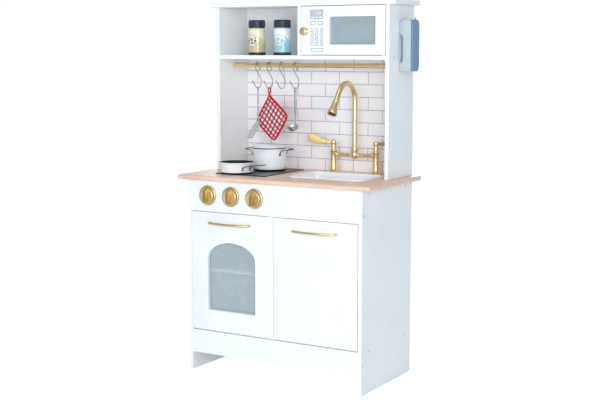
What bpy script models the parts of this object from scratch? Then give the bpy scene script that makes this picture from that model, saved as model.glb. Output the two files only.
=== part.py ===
"""Toy kitchen: painted cabinet with hob, sink, oven, cupboard, microwave, rail and utensils.

Metres, +Z up. The cabinet is drawn with its centre plane at x = 0, its back at y = 0, its front
towards -y and the floor at z = 0. One parent empty moves the whole kitchen so that the bottom
centre of its box is the origin.
"""
import bpy
import bmesh
from math import acos, cos, pi, radians, sin, sqrt
from mathutils import Matrix, Vector

# ------------------------------------------------------------------ driving dimensions (m)
GAP = 0.0003
WIDTH = 0.546              # over the side panels
PANEL = 0.011              # board thickness
DEPTH = 0.294              # lower cabinet, back to front
UPPER_DEPTH = 0.149
WORKTOP_UNDER = 0.539
WORKTOP_T = 0.013
WORKTOP_SIDE = 0.027
WORKTOP_FRONT = 0.014
TOP_UNDER = 1.012
TOP_T = 0.013
TOP_SIDE = 0.017
SHELF_TOP = 0.879
BACK_T = 0.006
KICK_BOTTOM = 0.0515
KICK_TOP = 0.1168
DOOR_BOTTOM = 0.119
DOOR_TOP = 0.4512
FASCIA_BOTTOM = 0.4527
FLOOR_TOP = 0.118
DOOR_EDGE = 0.0012         # rounded door edges
HINGE_IN = 0.0055          # hinge axis from the door's hinge edge
PIN_R = 0.003
PIN_BORE = 0.00306
RAIL_R = 0.00675
RAIL_Y = -0.0763
RAIL_Z = 0.851
HOB_T = 0.002
KNOB_X = (-0.205, -0.1295, -0.0535)
KNOB_Z = 0.4975
FAUCET_X = 0.112
FAUCET_Y = -0.034
FAUCET_HALF = 0.0667
BRIDGE_Z = 0.6028
HOOK_X = (-0.1803, -0.1422, -0.1005, -0.0552)
WIRE_R = 0.0011
PAN_AT = (-0.1655, -0.2085)
POT_AT = (-0.1265, -0.1000)
JAR_Y = -0.085
JAR_X = (-0.1770, -0.0925)
PHONE_Y = (-0.0895, -0.0475)
PHONE_Z = (0.8365, 0.9735)
SHIFT = (-0.0060, 0.15895, 0.0)   # cabinet centre to the centre of the whole box

XO = WIDTH / 2
XI = XO - PANEL
ZW = WORKTOP_UNDER + WORKTOP_T
ZH = ZW + GAP + HOB_T + GAP

for old in list(bpy.data.objects):
    bpy.data.objects.remove(old, do_unlink=True)

parts = bpy.data.collections.new("toy_kitchen")
cutters = bpy.data.collections.new("cutters")
bpy.context.scene.collection.children.link(parts)
bpy.context.scene.collection.children.link(cutters)
root = bpy.data.objects.new("kitchen_origin", None)
root.location = SHIFT
parts.objects.link(root)

WHITE = ((0.90, 0.91, 0.92), 0.0, 0.35)
BRASS = ((0.72, 0.55, 0.28), 1.0, 0.30)
STEEL = ((0.62, 0.62, 0.63), 1.0, 0.25)


# ------------------------------------------------------------------ helpers
def paint(obj, look, alpha=1.0):
    colour, metal, rough = look
    mat = bpy.data.materials.new(obj.name)
    mat.use_nodes = True
    shader = mat.node_tree.nodes["Principled BSDF"]
    shader.inputs["Base Color"].default_value = (*colour, 1.0)
    shader.inputs["Metallic"].default_value = metal
    shader.inputs["Roughness"].default_value = rough
    shader.inputs["Alpha"].default_value = alpha
    obj.data.materials.clear()
    obj.data.materials.append(mat)


def add(name, data, look=None, origin=(0, 0, 0), alpha=1.0):
    """Link data drawn in cabinet coordinates; its origin goes to the given point."""
    obj = bpy.data.objects.new(name, data)
    if look is None:
        cutters.objects.link(obj)
        obj.hide_render = True
        obj.display_type = 'WIRE'
    else:
        parts.objects.link(obj)
        paint(obj, look, alpha)
    obj.parent = root
    if isinstance(data, bpy.types.Mesh):
        data.shade_smooth()
        data.set_sharp_from_angle(angle=radians(35))
    obj.data.transform(Matrix.Translation(-Vector(origin)))
    obj.location = origin
    return obj


def finish(bm, name):
    bmesh.ops.recalc_face_normals(bm, faces=bm.faces[:])
    mesh = bpy.data.meshes.new(name)
    bm.to_mesh(mesh)
    bm.free()
    return mesh


def box_bm(lo, hi, bevel=0.0006, segments=1):
    bm = bmesh.new()
    bmesh.ops.create_cube(bm, size=1.0)
    for v in bm.verts:
        for k in range(3):
            v.co[k] = lo[k] if v.co[k] < 0 else hi[k]
    if bevel:
        bmesh.ops.bevel(bm, geom=bm.edges[:], offset=bevel, segments=segments, profile=0.5,
                        affect='EDGES', clamp_overlap=True)
    return bm


def block(name, lo, hi, look=WHITE, origin=(0, 0, 0), bevel=0.0006, segments=1):
    return add(name, finish(box_bm(lo, hi, bevel, segments), name), look, origin)


def evaluated(obj):
    """The object's finished mesh in its parent's frame, doubles merged."""
    bpy.context.view_layer.update()
    deps = bpy.context.evaluated_depsgraph_get()
    mesh = bpy.data.meshes.new_from_object(obj.evaluated_get(deps), depsgraph=deps)
    mesh.transform(root.matrix_world.inverted() @ obj.matrix_world)
    bm = bmesh.new()
    bm.from_mesh(mesh)
    bmesh.ops.remove_doubles(bm, verts=bm.verts[:], dist=0.00001)
    bmesh.ops.recalc_face_normals(bm, faces=bm.faces[:])
    bm.to_mesh(mesh)
    bm.free()
    return mesh


def baked(obj):
    mesh = evaluated(obj)
    bpy.data.objects.remove(obj, do_unlink=True)
    return mesh


def turned_mesh(name, profile, place, steps=24, closed=False):
    """Profile (radius, height) from top to bottom, turned about its own Z, then placed."""
    n = len(profile)
    edges = [(i, i + 1) for i in range(n - 1)]
    if closed:
        edges.append((n - 1, 0))
    mesh = bpy.data.meshes.new(name)
    mesh.from_pydata([(r, 0.0, z) for r, z in profile], edges, [])
    obj = bpy.data.objects.new(name + "_turn", mesh)
    cutters.objects.link(obj)
    obj.parent = root
    screw = obj.modifiers.new("turn", 'SCREW')
    screw.steps = steps
    screw.render_steps = steps
    screw.use_merge_vertices = True
    screw.merge_threshold = 0.00005
    screw.use_normal_calculate = True
    out = baked(obj)
    out.transform(place)
    return out


def place(at, rot_x=0.0, rot_y=0.0, rot_z=0.0):
    turn = Matrix.Rotation(rot_z, 4, 'Z') @ Matrix.Rotation(rot_y, 4, 'Y') @ Matrix.Rotation(rot_x, 4,
                                                                                             'X')
    return Matrix.Translation(at) @ turn


def turned(name, profile, where, look, origin=(0, 0, 0), steps=20, closed=False):
    return add(name, turned_mesh(name, profile, where, steps, closed), look, origin)


def tube_mesh(name, points, radius, cyclic=False, resolution=2):
    curve = bpy.data.curves.new(name, 'CURVE')
    curve.dimensions = '3D'
    curve.bevel_depth = radius
    curve.bevel_resolution = resolution
    curve.use_fill_caps = True
    curve.twist_mode = 'MINIMUM'
    spline = curve.splines.new('POLY')
    spline.points.add(len(points) - 1)
    for p, co in zip(spline.points, points):
        p.co = (*co, 1.0)
    spline.use_cyclic_u = cyclic
    obj = bpy.data.objects.new(name + "_tube", curve)
    cutters.objects.link(obj)
    obj.parent = root
    return baked(obj)


def joined(name, meshes):
    bm = bmesh.new()
    for mesh in meshes:
        bm.from_mesh(mesh)
    return finish(bm, name)


def boolean(obj, tool, operation='DIFFERENCE'):
    mod = obj.modifiers.new(operation.lower(), 'BOOLEAN')
    mod.operation = operation
    mod.solver = 'EXACT'
    mod.object = tool
    return mod


def union(obj, *meshes):
    for k, mesh in enumerate(meshes):
        tool = add(f"{obj.name}_add{k}", mesh)
        boolean(obj, tool, 'UNION')


def rounded_loop(x0, x1, y0, y1, r, z, per=4):
    loop = []
    corners = [(x1 - r, y1 - r, 0), (x0 + r, y1 - r, 1), (x0 + r, y0 + r, 2), (x1 - r, y0 + r, 3)]
    for cx, cy, q in corners:
        for k in range(per + 1):
            a = (q + k / per) * pi / 2
            loop.append(Vector((cx + r * cos(a), cy + r * sin(a), z)))
    return loop


def loft_mesh(name, rings):
    """Closed skin over rings of equal length, flat caps at both ends."""
    bm = bmesh.new()
    rows = [[bm.verts.new(p) for p in ring] for ring in rings]
    n = len(rows[0])
    for a, b in zip(rows, rows[1:]):
        for i in range(n):
            bm.faces.new((a[i], a[(i + 1) % n], b[(i + 1) % n], b[i]))
    bm.faces.new(rows[0])
    bm.faces.new(rows[-1])
    return finish(bm, name)


def plate_mesh(name, outline, holes, thickness):
    """Flat plate in its own XY plane, centred on z = 0, from an outline and holes."""
    curve = bpy.data.curves.new(name, 'CURVE')
    curve.dimensions = '2D'
    curve.fill_mode = 'BOTH'
    curve.extrude = thickness / 2
    for loop in [outline] + holes:
        spline = curve.splines.new('POLY')
        spline.points.add(len(loop) - 1)
        for p, co in zip(spline.points, loop):
            p.co = (co[0], co[1], 0.0, 1.0)
        spline.use_cyclic_u = True
    obj = bpy.data.objects.new(name + "_plate", curve)
    cutters.objects.link(obj)
    obj.parent = root
    return baked(obj)


def circle(cx, cy, r, n=16):
    return [(cx + r * cos(2 * pi * k / n), cy + r * sin(2 * pi * k / n)) for k in range(n)]


# ------------------------------------------------------------------ cabinet boards
lower_left = block("lower_side_left", (-XO, -DEPTH, 0), (-XI, 0, WORKTOP_UNDER - GAP))
block("lower_side_right", (XI, -DEPTH, 0), (XO, 0, WORKTOP_UNDER - GAP))
upper_left = block("upper_side_left", (-XO, -UPPER_DEPTH, ZW + GAP), (-XI, 0, TOP_UNDER - GAP))
upper_right = block("upper_side_right", (XI, -UPPER_DEPTH, ZW + GAP), (XO, 0, TOP_UNDER - GAP))
shelf = block("upper_shelf", (-XI + GAP, -UPPER_DEPTH, SHELF_TOP - PANEL),
              (XI - GAP, -BACK_T - GAP, SHELF_TOP))
block("upper_divider", (-PANEL / 2, -UPPER_DEPTH, SHELF_TOP + GAP),
      (PANEL / 2, -BACK_T - GAP, TOP_UNDER - GAP))
block("upper_back_panel", (-XI + GAP, -BACK_T, ZW + GAP), (XI - GAP, 0, TOP_UNDER - GAP))
fascia = block("control_fascia", (-XI + GAP, -DEPTH, FASCIA_BOTTOM),
               (XI - GAP, -DEPTH + PANEL, WORKTOP_UNDER - GAP))
kick = block("kick_rail", (-XI + GAP, -DEPTH, KICK_BOTTOM), (XI - GAP, -DEPTH + PANEL, KICK_TOP))
block("cabinet_floor", (-XI + GAP, -DEPTH + PANEL + GAP, FLOOR_TOP - PANEL),
      (XI - GAP, -BACK_T - GAP, FLOOR_TOP))
block("lower_back_panel", (-XI + GAP, -BACK_T, FLOOR_TOP - PANEL),
      (XI - GAP, 0, WORKTOP_UNDER - GAP))

partition_loop = [(-DEPTH, FLOOR_TOP + GAP), (-BACK_T - GAP, FLOOR_TOP + GAP),
                  (-BACK_T - GAP, WORKTOP_UNDER - 0.0490), (-DEPTH + PANEL + GAP, WORKTOP_UNDER - 0.0490),
                  (-DEPTH + PANEL + GAP, FASCIA_BOTTOM - GAP), (-DEPTH, FASCIA_BOTTOM - GAP)]
partition_mesh = plate_mesh("centre_partition", partition_loop, [], 0.0100)
partition_mesh.transform(Matrix(((0, 0, 1, 0), (1, 0, 0, 0), (0, 1, 0, 0), (0, 0, 0, 1))))
partition = add("centre_partition", partition_mesh, WHITE)
block("oven_shelf", (-XI + GAP, -0.2705, 0.2815), (-0.0050 - GAP, -BACK_T - GAP, 0.2905))


def edge_rounded_board(name, x, y0, z0, z1, corner, nose, look, segments=4):
    """Board with rounded front corners and a rounded nose on the front and sides."""
    bm = box_bm((-x, y0, z0), (x, 0, z1), 0)
    uprights = [e for e in bm.edges
                if abs(e.verts[0].co.z - e.verts[1].co.z) > 0.005 and e.verts[0].co.y < y0 + 0.001]
    bmesh.ops.bevel(bm, geom=uprights, offset=corner, segments=segments, profile=0.5, affect='EDGES')
    rim = [e for e in bm.edges if abs(e.verts[0].co.z - e.verts[1].co.z) < 1e-6
           and not (e.verts[0].co.y > -1e-6 and e.verts[1].co.y > -1e-6)]
    bmesh.ops.bevel(bm, geom=rim, offset=nose, segments=segments, profile=0.5, affect='EDGES')
    return add(name, finish(bm, name), look)


worktop = edge_rounded_board("worktop", XO + WORKTOP_SIDE, -DEPTH - WORKTOP_FRONT, WORKTOP_UNDER, ZW,
                             0.010, 0.0052, ((0.86, 0.66, 0.50), 0.0, 0.45))
top_board = edge_rounded_board("top_board", XO + TOP_SIDE, -UPPER_DEPTH - 0.001, TOP_UNDER,
                               TOP_UNDER + TOP_T, 0.006, 0.0016, WHITE, 3)

# ------------------------------------------------------------------ rail
rail_end = XI + 0.0045
turned("towel_rail", [(0, rail_end), (RAIL_R - 0.0005, rail_end), (RAIL_R, rail_end - 0.0005),
                      (RAIL_R, -rail_end + 0.0005), (RAIL_R - 0.0005, -rail_end), (0, -rail_end)],
       place((0, RAIL_Y, RAIL_Z), rot_y=pi / 2), BRASS, steps=24)
rail_bore = add("rail_bore", turned_mesh("rail_bore", [
    (0, rail_end + GAP), (RAIL_R + GAP, rail_end + GAP), (RAIL_R + GAP, -rail_end - GAP),
    (0, -rail_end - GAP)], place((0, RAIL_Y, RAIL_Z), rot_y=pi / 2), 24))
boolean(upper_left, rail_bore)
boolean(upper_right, rail_bore)

# ------------------------------------------------------------------ hob, basin
hob_loop = rounded_loop(-0.2150, -0.0520, -0.2450, -0.0300, 0.004, ZW + GAP)
hob_top = rounded_loop(-0.2150, -0.0520, -0.2450, -0.0300, 0.004, ZW + GAP + HOB_T - 0.0004)
hob_in = rounded_loop(-0.2146, -0.0524, -0.2446, -0.0304, 0.0036, ZW + GAP + HOB_T)
add("hob_plate", loft_mesh("hob_plate", [hob_loop, hob_top, hob_in]), ((0.02, 0.02, 0.022), 0.0, 0.12))

BX0, BX1, BY0, BY1 = -0.0060, 0.2300, -0.2190, -0.0590


def basin_ring(inset, z, r):
    return rounded_loop(BX0 + inset, BX1 - inset, BY0 + inset, BY1 - inset, r, z)


basin_rings = [basin_ring(0.0180, ZW - 0.0480, 0.010), basin_ring(0.0145, ZW - 0.0440, 0.013),
               basin_ring(0.0120, ZW - 0.0020, 0.015), basin_ring(0.0115, ZW + GAP, 0.015),
               basin_ring(0.0004, ZW + GAP, 0.019), basin_ring(0.0000, ZW + GAP + 0.0012, 0.019),
               basin_ring(0.0012, ZW + GAP + 0.0030, 0.018), basin_ring(0.0085, ZW + GAP + 0.0032, 0.016),
               basin_ring(0.0125, ZW + GAP + 0.0008, 0.014), basin_ring(0.0160, ZW - 0.0400, 0.012),
               basin_ring(0.0205, ZW - 0.0455, 0.009)]
add("basin", loft_mesh("basin", basin_rings), ((0.93, 0.93, 0.94), 0.0, 0.22))
cut_rings = [rounded_loop(BX0 + 0.0100, BX1 - 0.0100, BY0 + 0.0100, BY1 - 0.0100, 0.016, z)
             for z in (WORKTOP_UNDER - 0.01, ZW + 0.01)]
boolean(worktop, add("basin_cutout", loft_mesh("basin_cutout", cut_rings)))

# ------------------------------------------------------------------ hinge pins and their bores
LEFT_X0, LEFT_X1 = -0.2612, -0.0059
RIGHT_X0, RIGHT_X1 = 0.0059, 0.2597
OVEN_AXIS_Z = DOOR_BOTTOM + HINGE_IN
DOOR_Y = -DEPTH + PANEL / 2
CUP_AXIS = (RIGHT_X1 - HINGE_IN, DOOR_Y)
MW_AXIS = (RIGHT_X1 - HINGE_IN, -UPPER_DEPTH + PANEL / 2)
MW_Z0, MW_Z1 = 0.8805, 1.0105


def pin(at, axis, length, radius):
    """Straight pin from a start point along +X or +Z."""
    profile = [(0, length), (radius, length), (radius, 0), (0, 0)]
    return turned_mesh("pin", profile, place(at, rot_y=pi / 2 if axis == 'X' else 0.0), 24)


def pins(base, ends, spots, axis, length, origin):
    """Two pins, and the cutter that bores their holes a little longer and wider."""
    step = Vector((0.0004, 0, 0)) if axis == 'X' else Vector((0, 0, 0.0004))
    for end, p in zip(ends, spots):
        add(f"{base}_hinge_pin_{end}", pin(p, axis, length, PIN_R), STEEL, origin)
    hole = [pin(Vector(p) - step, axis, length + 0.0008, PIN_BORE) for p in spots]
    return add(base + "_pin_bores", joined(base + "_pin_bores", hole))


oven_bores = pins("oven", ("left", "right"), [(LEFT_X0 - 0.0060, DOOR_Y, OVEN_AXIS_Z),
                                              (LEFT_X1 - 0.0080, DOOR_Y, OVEN_AXIS_Z)], 'X', 0.0130,
                  (-0.1335, DOOR_Y, OVEN_AXIS_Z))
cup_bores = pins("cupboard", ("bottom", "top"), [(*CUP_AXIS, DOOR_BOTTOM - 0.0080),
                                                 (*CUP_AXIS, DOOR_TOP - 0.0060)], 'Z', 0.0140,
                 (*CUP_AXIS, 0.285))
mw_bores = pins("microwave", ("bottom", "top"), [(*MW_AXIS, MW_Z0 - 0.0070), (*MW_AXIS, MW_Z1 - 0.0060)],
                'Z', 0.0130, (*MW_AXIS, 0.945))
for board in (lower_left, partition):
    boolean(board, oven_bores)
for board in (kick, fascia):
    boolean(board, cup_bores)
for board in (shelf, top_board):
    boolean(board, mw_bores)


# ------------------------------------------------------------------ doors, windows, handles
def arch(cx, half, z0, spring, top, n=14):
    loop = [(cx - half, z0), (cx + half, z0)]
    for k in range(n + 1):
        a = pi * k / n
        loop.append((cx + half * cos(a), spring + (top - spring) * sin(a)))
    return loop


def upright(name, loop, y0, y1):
    """Solid with an XZ outline between two y planes."""
    mesh = plate_mesh(name, loop, [], y1 - y0)
    mesh.transform(Matrix(((1, 0, 0, 0), (0, 0, -1, (y0 + y1) / 2), (0, 1, 0, 0), (0, 0, 0, 1))))
    return mesh


OVEN_CX = -0.1300
oven_origin = (-0.1335, DOOR_Y, OVEN_AXIS_Z)
oven_door = block("oven_door", (LEFT_X0, -DEPTH, DOOR_BOTTOM), (LEFT_X1, -DEPTH + PANEL, DOOR_TOP),
                  WHITE, oven_origin, DOOR_EDGE, 2)
window_cut = add("oven_window_cut", upright("oven_window_cut", arch(OVEN_CX, 0.0780, 0.1775, 0.3215,
                                                                    0.3700),
                                            -DEPTH - 0.01, -DEPTH + PANEL + 0.01))
boolean(oven_door, window_cut)
boolean(oven_door, oven_bores)
GLASS = ((0.45, 0.52, 0.56), 0.0, 0.10)
add("oven_window", upright("oven_window", arch(OVEN_CX, 0.0860, 0.1690, 0.3215, 0.3780),
                           -DEPTH + PANEL + GAP, -DEPTH + PANEL + GAP + 0.0020), GLASS, oven_origin, 0.45)

cup_origin = (*CUP_AXIS, 0.285)
cupboard_door = block("cupboard_door", (RIGHT_X0, -DEPTH, DOOR_BOTTOM),
                      (RIGHT_X1, -DEPTH + PANEL, DOOR_TOP), WHITE, cup_origin, DOOR_EDGE, 2)
boolean(cupboard_door, cup_bores)

mw_origin = (*MW_AXIS, 0.945)
microwave_door = block("microwave_door", (RIGHT_X0 + 0.0008, -UPPER_DEPTH, MW_Z0),
                       (RIGHT_X1, -UPPER_DEPTH + PANEL, MW_Z1), WHITE, mw_origin, DOOR_EDGE, 2)
MW_WIN = (0.0935, 0.2325, 0.9080, 0.9820)
mw_cut = box_bm((MW_WIN[0], -UPPER_DEPTH - 0.01, MW_WIN[2]), (MW_WIN[1], -UPPER_DEPTH + PANEL + 0.01,
                                                              MW_WIN[3]), 0)
boolean(microwave_door, add("microwave_window_cut", finish(mw_cut, "microwave_window_cut")))
boolean(microwave_door, mw_bores)
pane = box_bm((MW_WIN[0] - 0.006, -UPPER_DEPTH + PANEL + GAP, MW_WIN[2] - 0.006),
              (MW_WIN[1] + 0.006, -UPPER_DEPTH + PANEL + GAP + 0.002, MW_WIN[3] + 0.006), 0.0004)
add("microwave_window", finish(pane, "microwave_window"), GLASS, mw_origin, 0.45)
turned("microwave_knob", [(0, 0.0170), (0.0060, 0.0168), (0.0095, 0.0158), (0.0108, 0.0138),
                          (0.0110, 0.0115),
                          (0.0100, 0.0090), (0.0068, 0.0070), (0.0055, 0.0050), (0.0058, 0.0020),
                          (0.0070, 0.0003), (0, 0.0003)],
       place((0.0205, -UPPER_DEPTH, 0.9438), rot_x=pi / 2), BRASS, mw_origin)


def bow_handle(name, cx, z, origin):
    """Slim bar bowed away from the door between two round feet."""
    half = 0.0640
    face = -DEPTH - GAP
    path = [(cx - half, face, z), (cx - half, face - 0.0050, z), (cx - half + 0.0016, face - 0.0085, z),
            (cx - half + 0.0050, face - 0.0108, z)]
    for k in range(1, 10):
        s = k / 10
        x = cx - half + 0.0050 + s * 2 * (half - 0.0050)
        path.append((x, face - 0.0108 - 0.0092 * sin(pi * s) ** 0.8, z))
    path += [(2 * cx - x, y, z) for x, y, z in reversed(path[:4])]
    mesh = tube_mesh(name, path, 0.0036, resolution=2)
    return add(name, mesh, BRASS, origin)


bow_handle("oven_handle", -0.1335, 0.4225, oven_origin)
bow_handle("cupboard_handle", 0.1330, 0.4205, cup_origin)

# ------------------------------------------------------------------ burner knobs
KNOB = [(0, 0.0105), (0.0205, 0.0105), (0.0222, 0.0098), (0.0230, 0.0082), (0.0234, 0.0042),
        (0.0262, 0.0036), (0.0272, 0.0026), (0.0274, 0.0003), (0.0042, 0.0003), (0.0040, -0.0080),
        (0.0034, -0.0086), (0, -0.0086)]
for name, x in zip(("burner_knob_left", "burner_knob_centre", "burner_knob_right"), KNOB_X):
    where = place((x, -DEPTH, KNOB_Z), rot_x=pi / 2)
    knob = turned(name, KNOB, where, BRASS, (x, -DEPTH, KNOB_Z), 26)
    grip_rings = []
    for lift, half, wide in ((0.0095, 0.0195, 0.0058), (0.0150, 0.0190, 0.0050), (0.0190, 0.0180, 0.0040),
                             (0.0202, 0.0168, 0.0028)):
        grip_rings.append([Vector((x + wide * c, -DEPTH - lift, KNOB_Z + half * s)) for c, s in
                           ((1, 0.55), (0.55, 0.93), (0, 1.0), (-0.55, 0.93), (-1, 0.55),
                            (-1, -0.55), (-0.55, -0.93), (0, -1.0), (0.55, -0.93), (1, -0.55))])
    union(knob, loft_mesh(name + "_grip", grip_rings))
    shaft_bore = [(0, 0.01), (0.00428, 0.01), (0.00428, -0.0092), (0, -0.0092)]
    boolean(fascia, add(name + "_bore", turned_mesh(name + "_bore", shaft_bore, where, 24)))

# ------------------------------------------------------------------ faucet
COLUMN = [(0, 0.0795), (0.0064, 0.0795), (0.0066, 0.0790), (0.0066, 0.0640), (0.0086, 0.0632),
          (0.0098, 0.0618),
          (0.0098, 0.0598), (0.0086, 0.0584), (0.0083, 0.0570), (0.0083, 0.0105), (0.0096, 0.0070),
          (0.0130, 0.0044), (0.0172, 0.0030), (0.0184, 0.0020), (0.0186, 0.0003), (0, 0.0003)]
HUB = [(0, 0.0115), (0.0052, 0.0112), (0.0072, 0.0098), (0.0078, 0.0080), (0.0078, 0.0022),
       (0.0068, 0.0003),
       (0, 0.0003)]
BLADE = [(0.004, 0.0010), (0.030, 0.0006), (0.056, 0.0004), (0.0650, 0.0020), (0.0715, 0.0070),
         (0.0750, 0.0140),
         (0.0752, 0.0205), (0.0725, 0.0262), (0.0675, 0.0288), (0.0615, 0.0285), (0.0540, 0.0250),
         (0.0440, 0.0192), (0.0320, 0.0138), (0.0200, 0.0104), (0.0110, 0.0088), (0.004, 0.0084)]
for side, name in ((-1, "left"), (1, "right")):
    cx = FAUCET_X + side * FAUCET_HALF
    turned("faucet_column_" + name, COLUMN, place((cx, FAUCET_Y, ZW)), BRASS)
    hub_z = ZW + 0.0797
    hub_at = (cx, FAUCET_Y, hub_z)
    lever = turned("faucet_lever_" + name, HUB, place(hub_at), BRASS, hub_at)
    azimuth = radians(180 + 18) if side < 0 else radians(-18)
    stand = Matrix(((1, 0, 0, 0), (0, 0, -1, 0), (0, 1, 0, 0), (0, 0, 0, 1)))
    blade = plate_mesh("blade", BLADE, [], 0.0036)
    blade.transform(place(hub_at, rot_z=azimuth) @ stand)
    ball = turned_mesh("ball", [(0, 0.0125), (0.0018, 0.0119), (0.0029, 0.0096), (0.0024, 0.0076),
                                (0.0016, 0.0066),
                                (0.0016, 0.0), (0, 0.0)],
                       place((cx, FAUCET_Y, hub_z + 0.0058), rot_y=pi / 2, rot_z=azimuth + pi), 16)
    union(lever, blade, ball)

bridge_half = FAUCET_HALF
bridge = turned("faucet_bridge", [
    (0, 0.0145), (0.0090, 0.0145), (0.0096, 0.0138), (0.0096, 0.0110), (0.0086, 0.0098), (0.0088, 0.0040),
    (0.0088, -0.0040), (0.0074, -0.0078), (0.0044, -0.0102), (0, -0.0110)],
    place((FAUCET_X, FAUCET_Y, BRIDGE_Z)), BRASS)
union(bridge, turned_mesh("arm", [(0, bridge_half), (0.0053, bridge_half), (0.0053, -bridge_half),
                                  (0, -bridge_half)],
                          place((FAUCET_X, FAUCET_Y, BRIDGE_Z), rot_y=pi / 2), 24))
cope = [turned_mesh("cope", [(0, 0.03), (0.0086, 0.03), (0.0086, -0.03), (0, -0.03)],
                    place((FAUCET_X + s * FAUCET_HALF, FAUCET_Y, BRIDGE_Z)), 24) for s in (-1, 1)]
boolean(bridge, add("bridge_cope", joined("bridge_cope", cope)))
SWIVEL_R = 0.0050
swivel_bore = [(0, 0.03), (SWIVEL_R + 0.00006, 0.03), (SWIVEL_R + 0.00006, 0.0020), (0, 0.0020)]
boolean(bridge, add("swivel_bore", turned_mesh("swivel_bore", swivel_bore,
                                               place((FAUCET_X, FAUCET_Y, BRIDGE_Z)), 24)))

SPOUT_R = 0.0072
collar_z = BRIDGE_Z + 0.0145 + GAP
arc_c = Vector((0, FAUCET_Y - 0.0490, 0.7560))
spout_path = [(FAUCET_X, FAUCET_Y, collar_z + 0.0010), (FAUCET_X, FAUCET_Y, arc_c.z)]
for k in range(1, 13):
    a = radians(k * 11.9)
    spout_path.append((FAUCET_X, arc_c.y + 0.0490 * cos(a), arc_c.z + 0.0475 * sin(a)))
last = Vector(spout_path[-1])
run = Vector((0, -0.575, -0.818)).normalized()
head_start = last + run * 0.0330
spout_path.append(tuple(last + run * 0.0120))
spout_path.append(tuple(head_start))
spout_origin = (FAUCET_X, FAUCET_Y, BRIDGE_Z)
spout = add("faucet_spout", tube_mesh("faucet_spout", spout_path, SPOUT_R, resolution=3), BRASS,
            spout_origin)
foot = [(0, 0.0090), (SPOUT_R + 0.0005, 0.0090), (SPOUT_R + 0.0014, 0.0070), (SPOUT_R + 0.0018, 0.0010),
        (SPOUT_R + 0.0014, 0.0), (SWIVEL_R, 0.0), (SWIVEL_R, -0.0115), (0, -0.0120)]
union(spout, turned_mesh("spout_foot", foot, place((FAUCET_X, FAUCET_Y, collar_z)), 24))
tilt = acos(-run.z)
HEAD = [(0, -0.0004), (0.0086, -0.0004), (0.0090, -0.0012), (0.0090, -0.0036), (0.0084, -0.0046),
        (0.0088, -0.0090),
        (0.0108, -0.0230), (0.0128, -0.0340), (0.0134, -0.0385), (0.0134, -0.0415), (0.0124, -0.0428),
        (0.0108, -0.0428), (0.0104, -0.0412), (0, -0.0412)]
turned("faucet_spray_head", HEAD, place(head_start, rot_x=-tilt), BRASS, spout_origin)


# ------------------------------------------------------------------ S-hooks
def hook_path():
    """Points (y, z) from the tip under the rail, over it, down the stem and round the lower loop."""
    r1, r2, drop, aft = 0.0125, 0.0178, 0.0440, 0.0010
    reach = sqrt(drop ** 2 + aft ** 2)
    lean = acos((r1 + r2) / reach)
    pts = []
    start, stop = radians(-62), radians(270) - lean
    n = 16
    for k in range(n + 1):
        a = start + (stop - start) * k / n
        pts.append((r1 * cos(a), r1 * sin(a)))
    start, stop = pi / 2 - lean, radians(-135)
    n = 11
    for k in range(n + 1):
        a = start + (stop - start) * k / n
        pts.append((aft + r2 * cos(a), -drop + r2 * sin(a)))
    end = Vector(pts[-1])
    pts.append(tuple(end + Vector((-0.7071, 0.7071)) * 0.0125))
    pts.append(tuple(end + Vector((-0.7071, 0.7071)) * 0.0250))
    return pts


loop_z = RAIL_Z + RAIL_R + 0.0003 + WIRE_R - 0.0125
HOOK_LOW = loop_z - 0.0440 - 0.0178
for k, x in enumerate(HOOK_X):
    points = [(x, RAIL_Y + y, loop_z + z) for y, z in hook_path()]
    add(f"s_hook_{k + 1}", tube_mesh("hook", points, WIRE_R, resolution=1), STEEL, (x, RAIL_Y, RAIL_Z))

# ------------------------------------------------------------------ spatula and ladle
HANG_Y = RAIL_Y + 0.0010
EYE_R = 0.0024
facing = Matrix(((1, 0, 0, 0), (0, 0, -1, 0), (0, 1, 0, 0), (0, 0, 0, 1)))
eye_z = HOOK_LOW - EYE_R + WIRE_R + 0.0003


def strip(half_top, half_mid, half_low, length, mid):
    """Handle outline below an eye at the origin."""
    head = [(half_top * sin(a), half_top * cos(a)) for a in [radians(d) for d in range(-90, 91, 18)]]
    right = [(half_mid, -0.006), (half_mid, -mid), (half_low, -mid - 0.010), (half_low, -length)]
    return head + right + [(-x, y) for x, y in reversed(right)]


spat_x = HOOK_X[0]
spat_mesh = plate_mesh("spatula", strip(0.0046, 0.0021, 0.0021, 0.0980, 0.0840),
                       [circle(0, 0, EYE_R, 14)], 0.0016)
spat_mesh.transform(place((spat_x, HANG_Y, eye_z)) @ facing)
spatula = add("spatula", spat_mesh, STEEL, (spat_x, HANG_Y, HOOK_LOW))
blade_out = [(0.0040, 0.0040), (0.0125, -0.0060), (0.0150, -0.0150), (0.0150, -0.0560), (0.0135, -0.0580),
             (-0.0135, -0.0580), (-0.0150, -0.0560), (-0.0150, -0.0150), (-0.0125, -0.0060),
             (-0.0040, 0.0040)]
slots = [[(cx + 0.0014, -0.0180), (cx + 0.0014, -0.0480), (cx - 0.0014, -0.0480), (cx - 0.0014, -0.0180)]
         for cx in (-0.0088, 0.0, 0.0088)]
blade = plate_mesh("spatula_blade", blade_out, slots, 0.0014)
blade.transform(place((spat_x, HANG_Y, eye_z - 0.0950), rot_x=radians(-38), rot_z=radians(-14)) @ facing)
union(spatula, blade)

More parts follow.
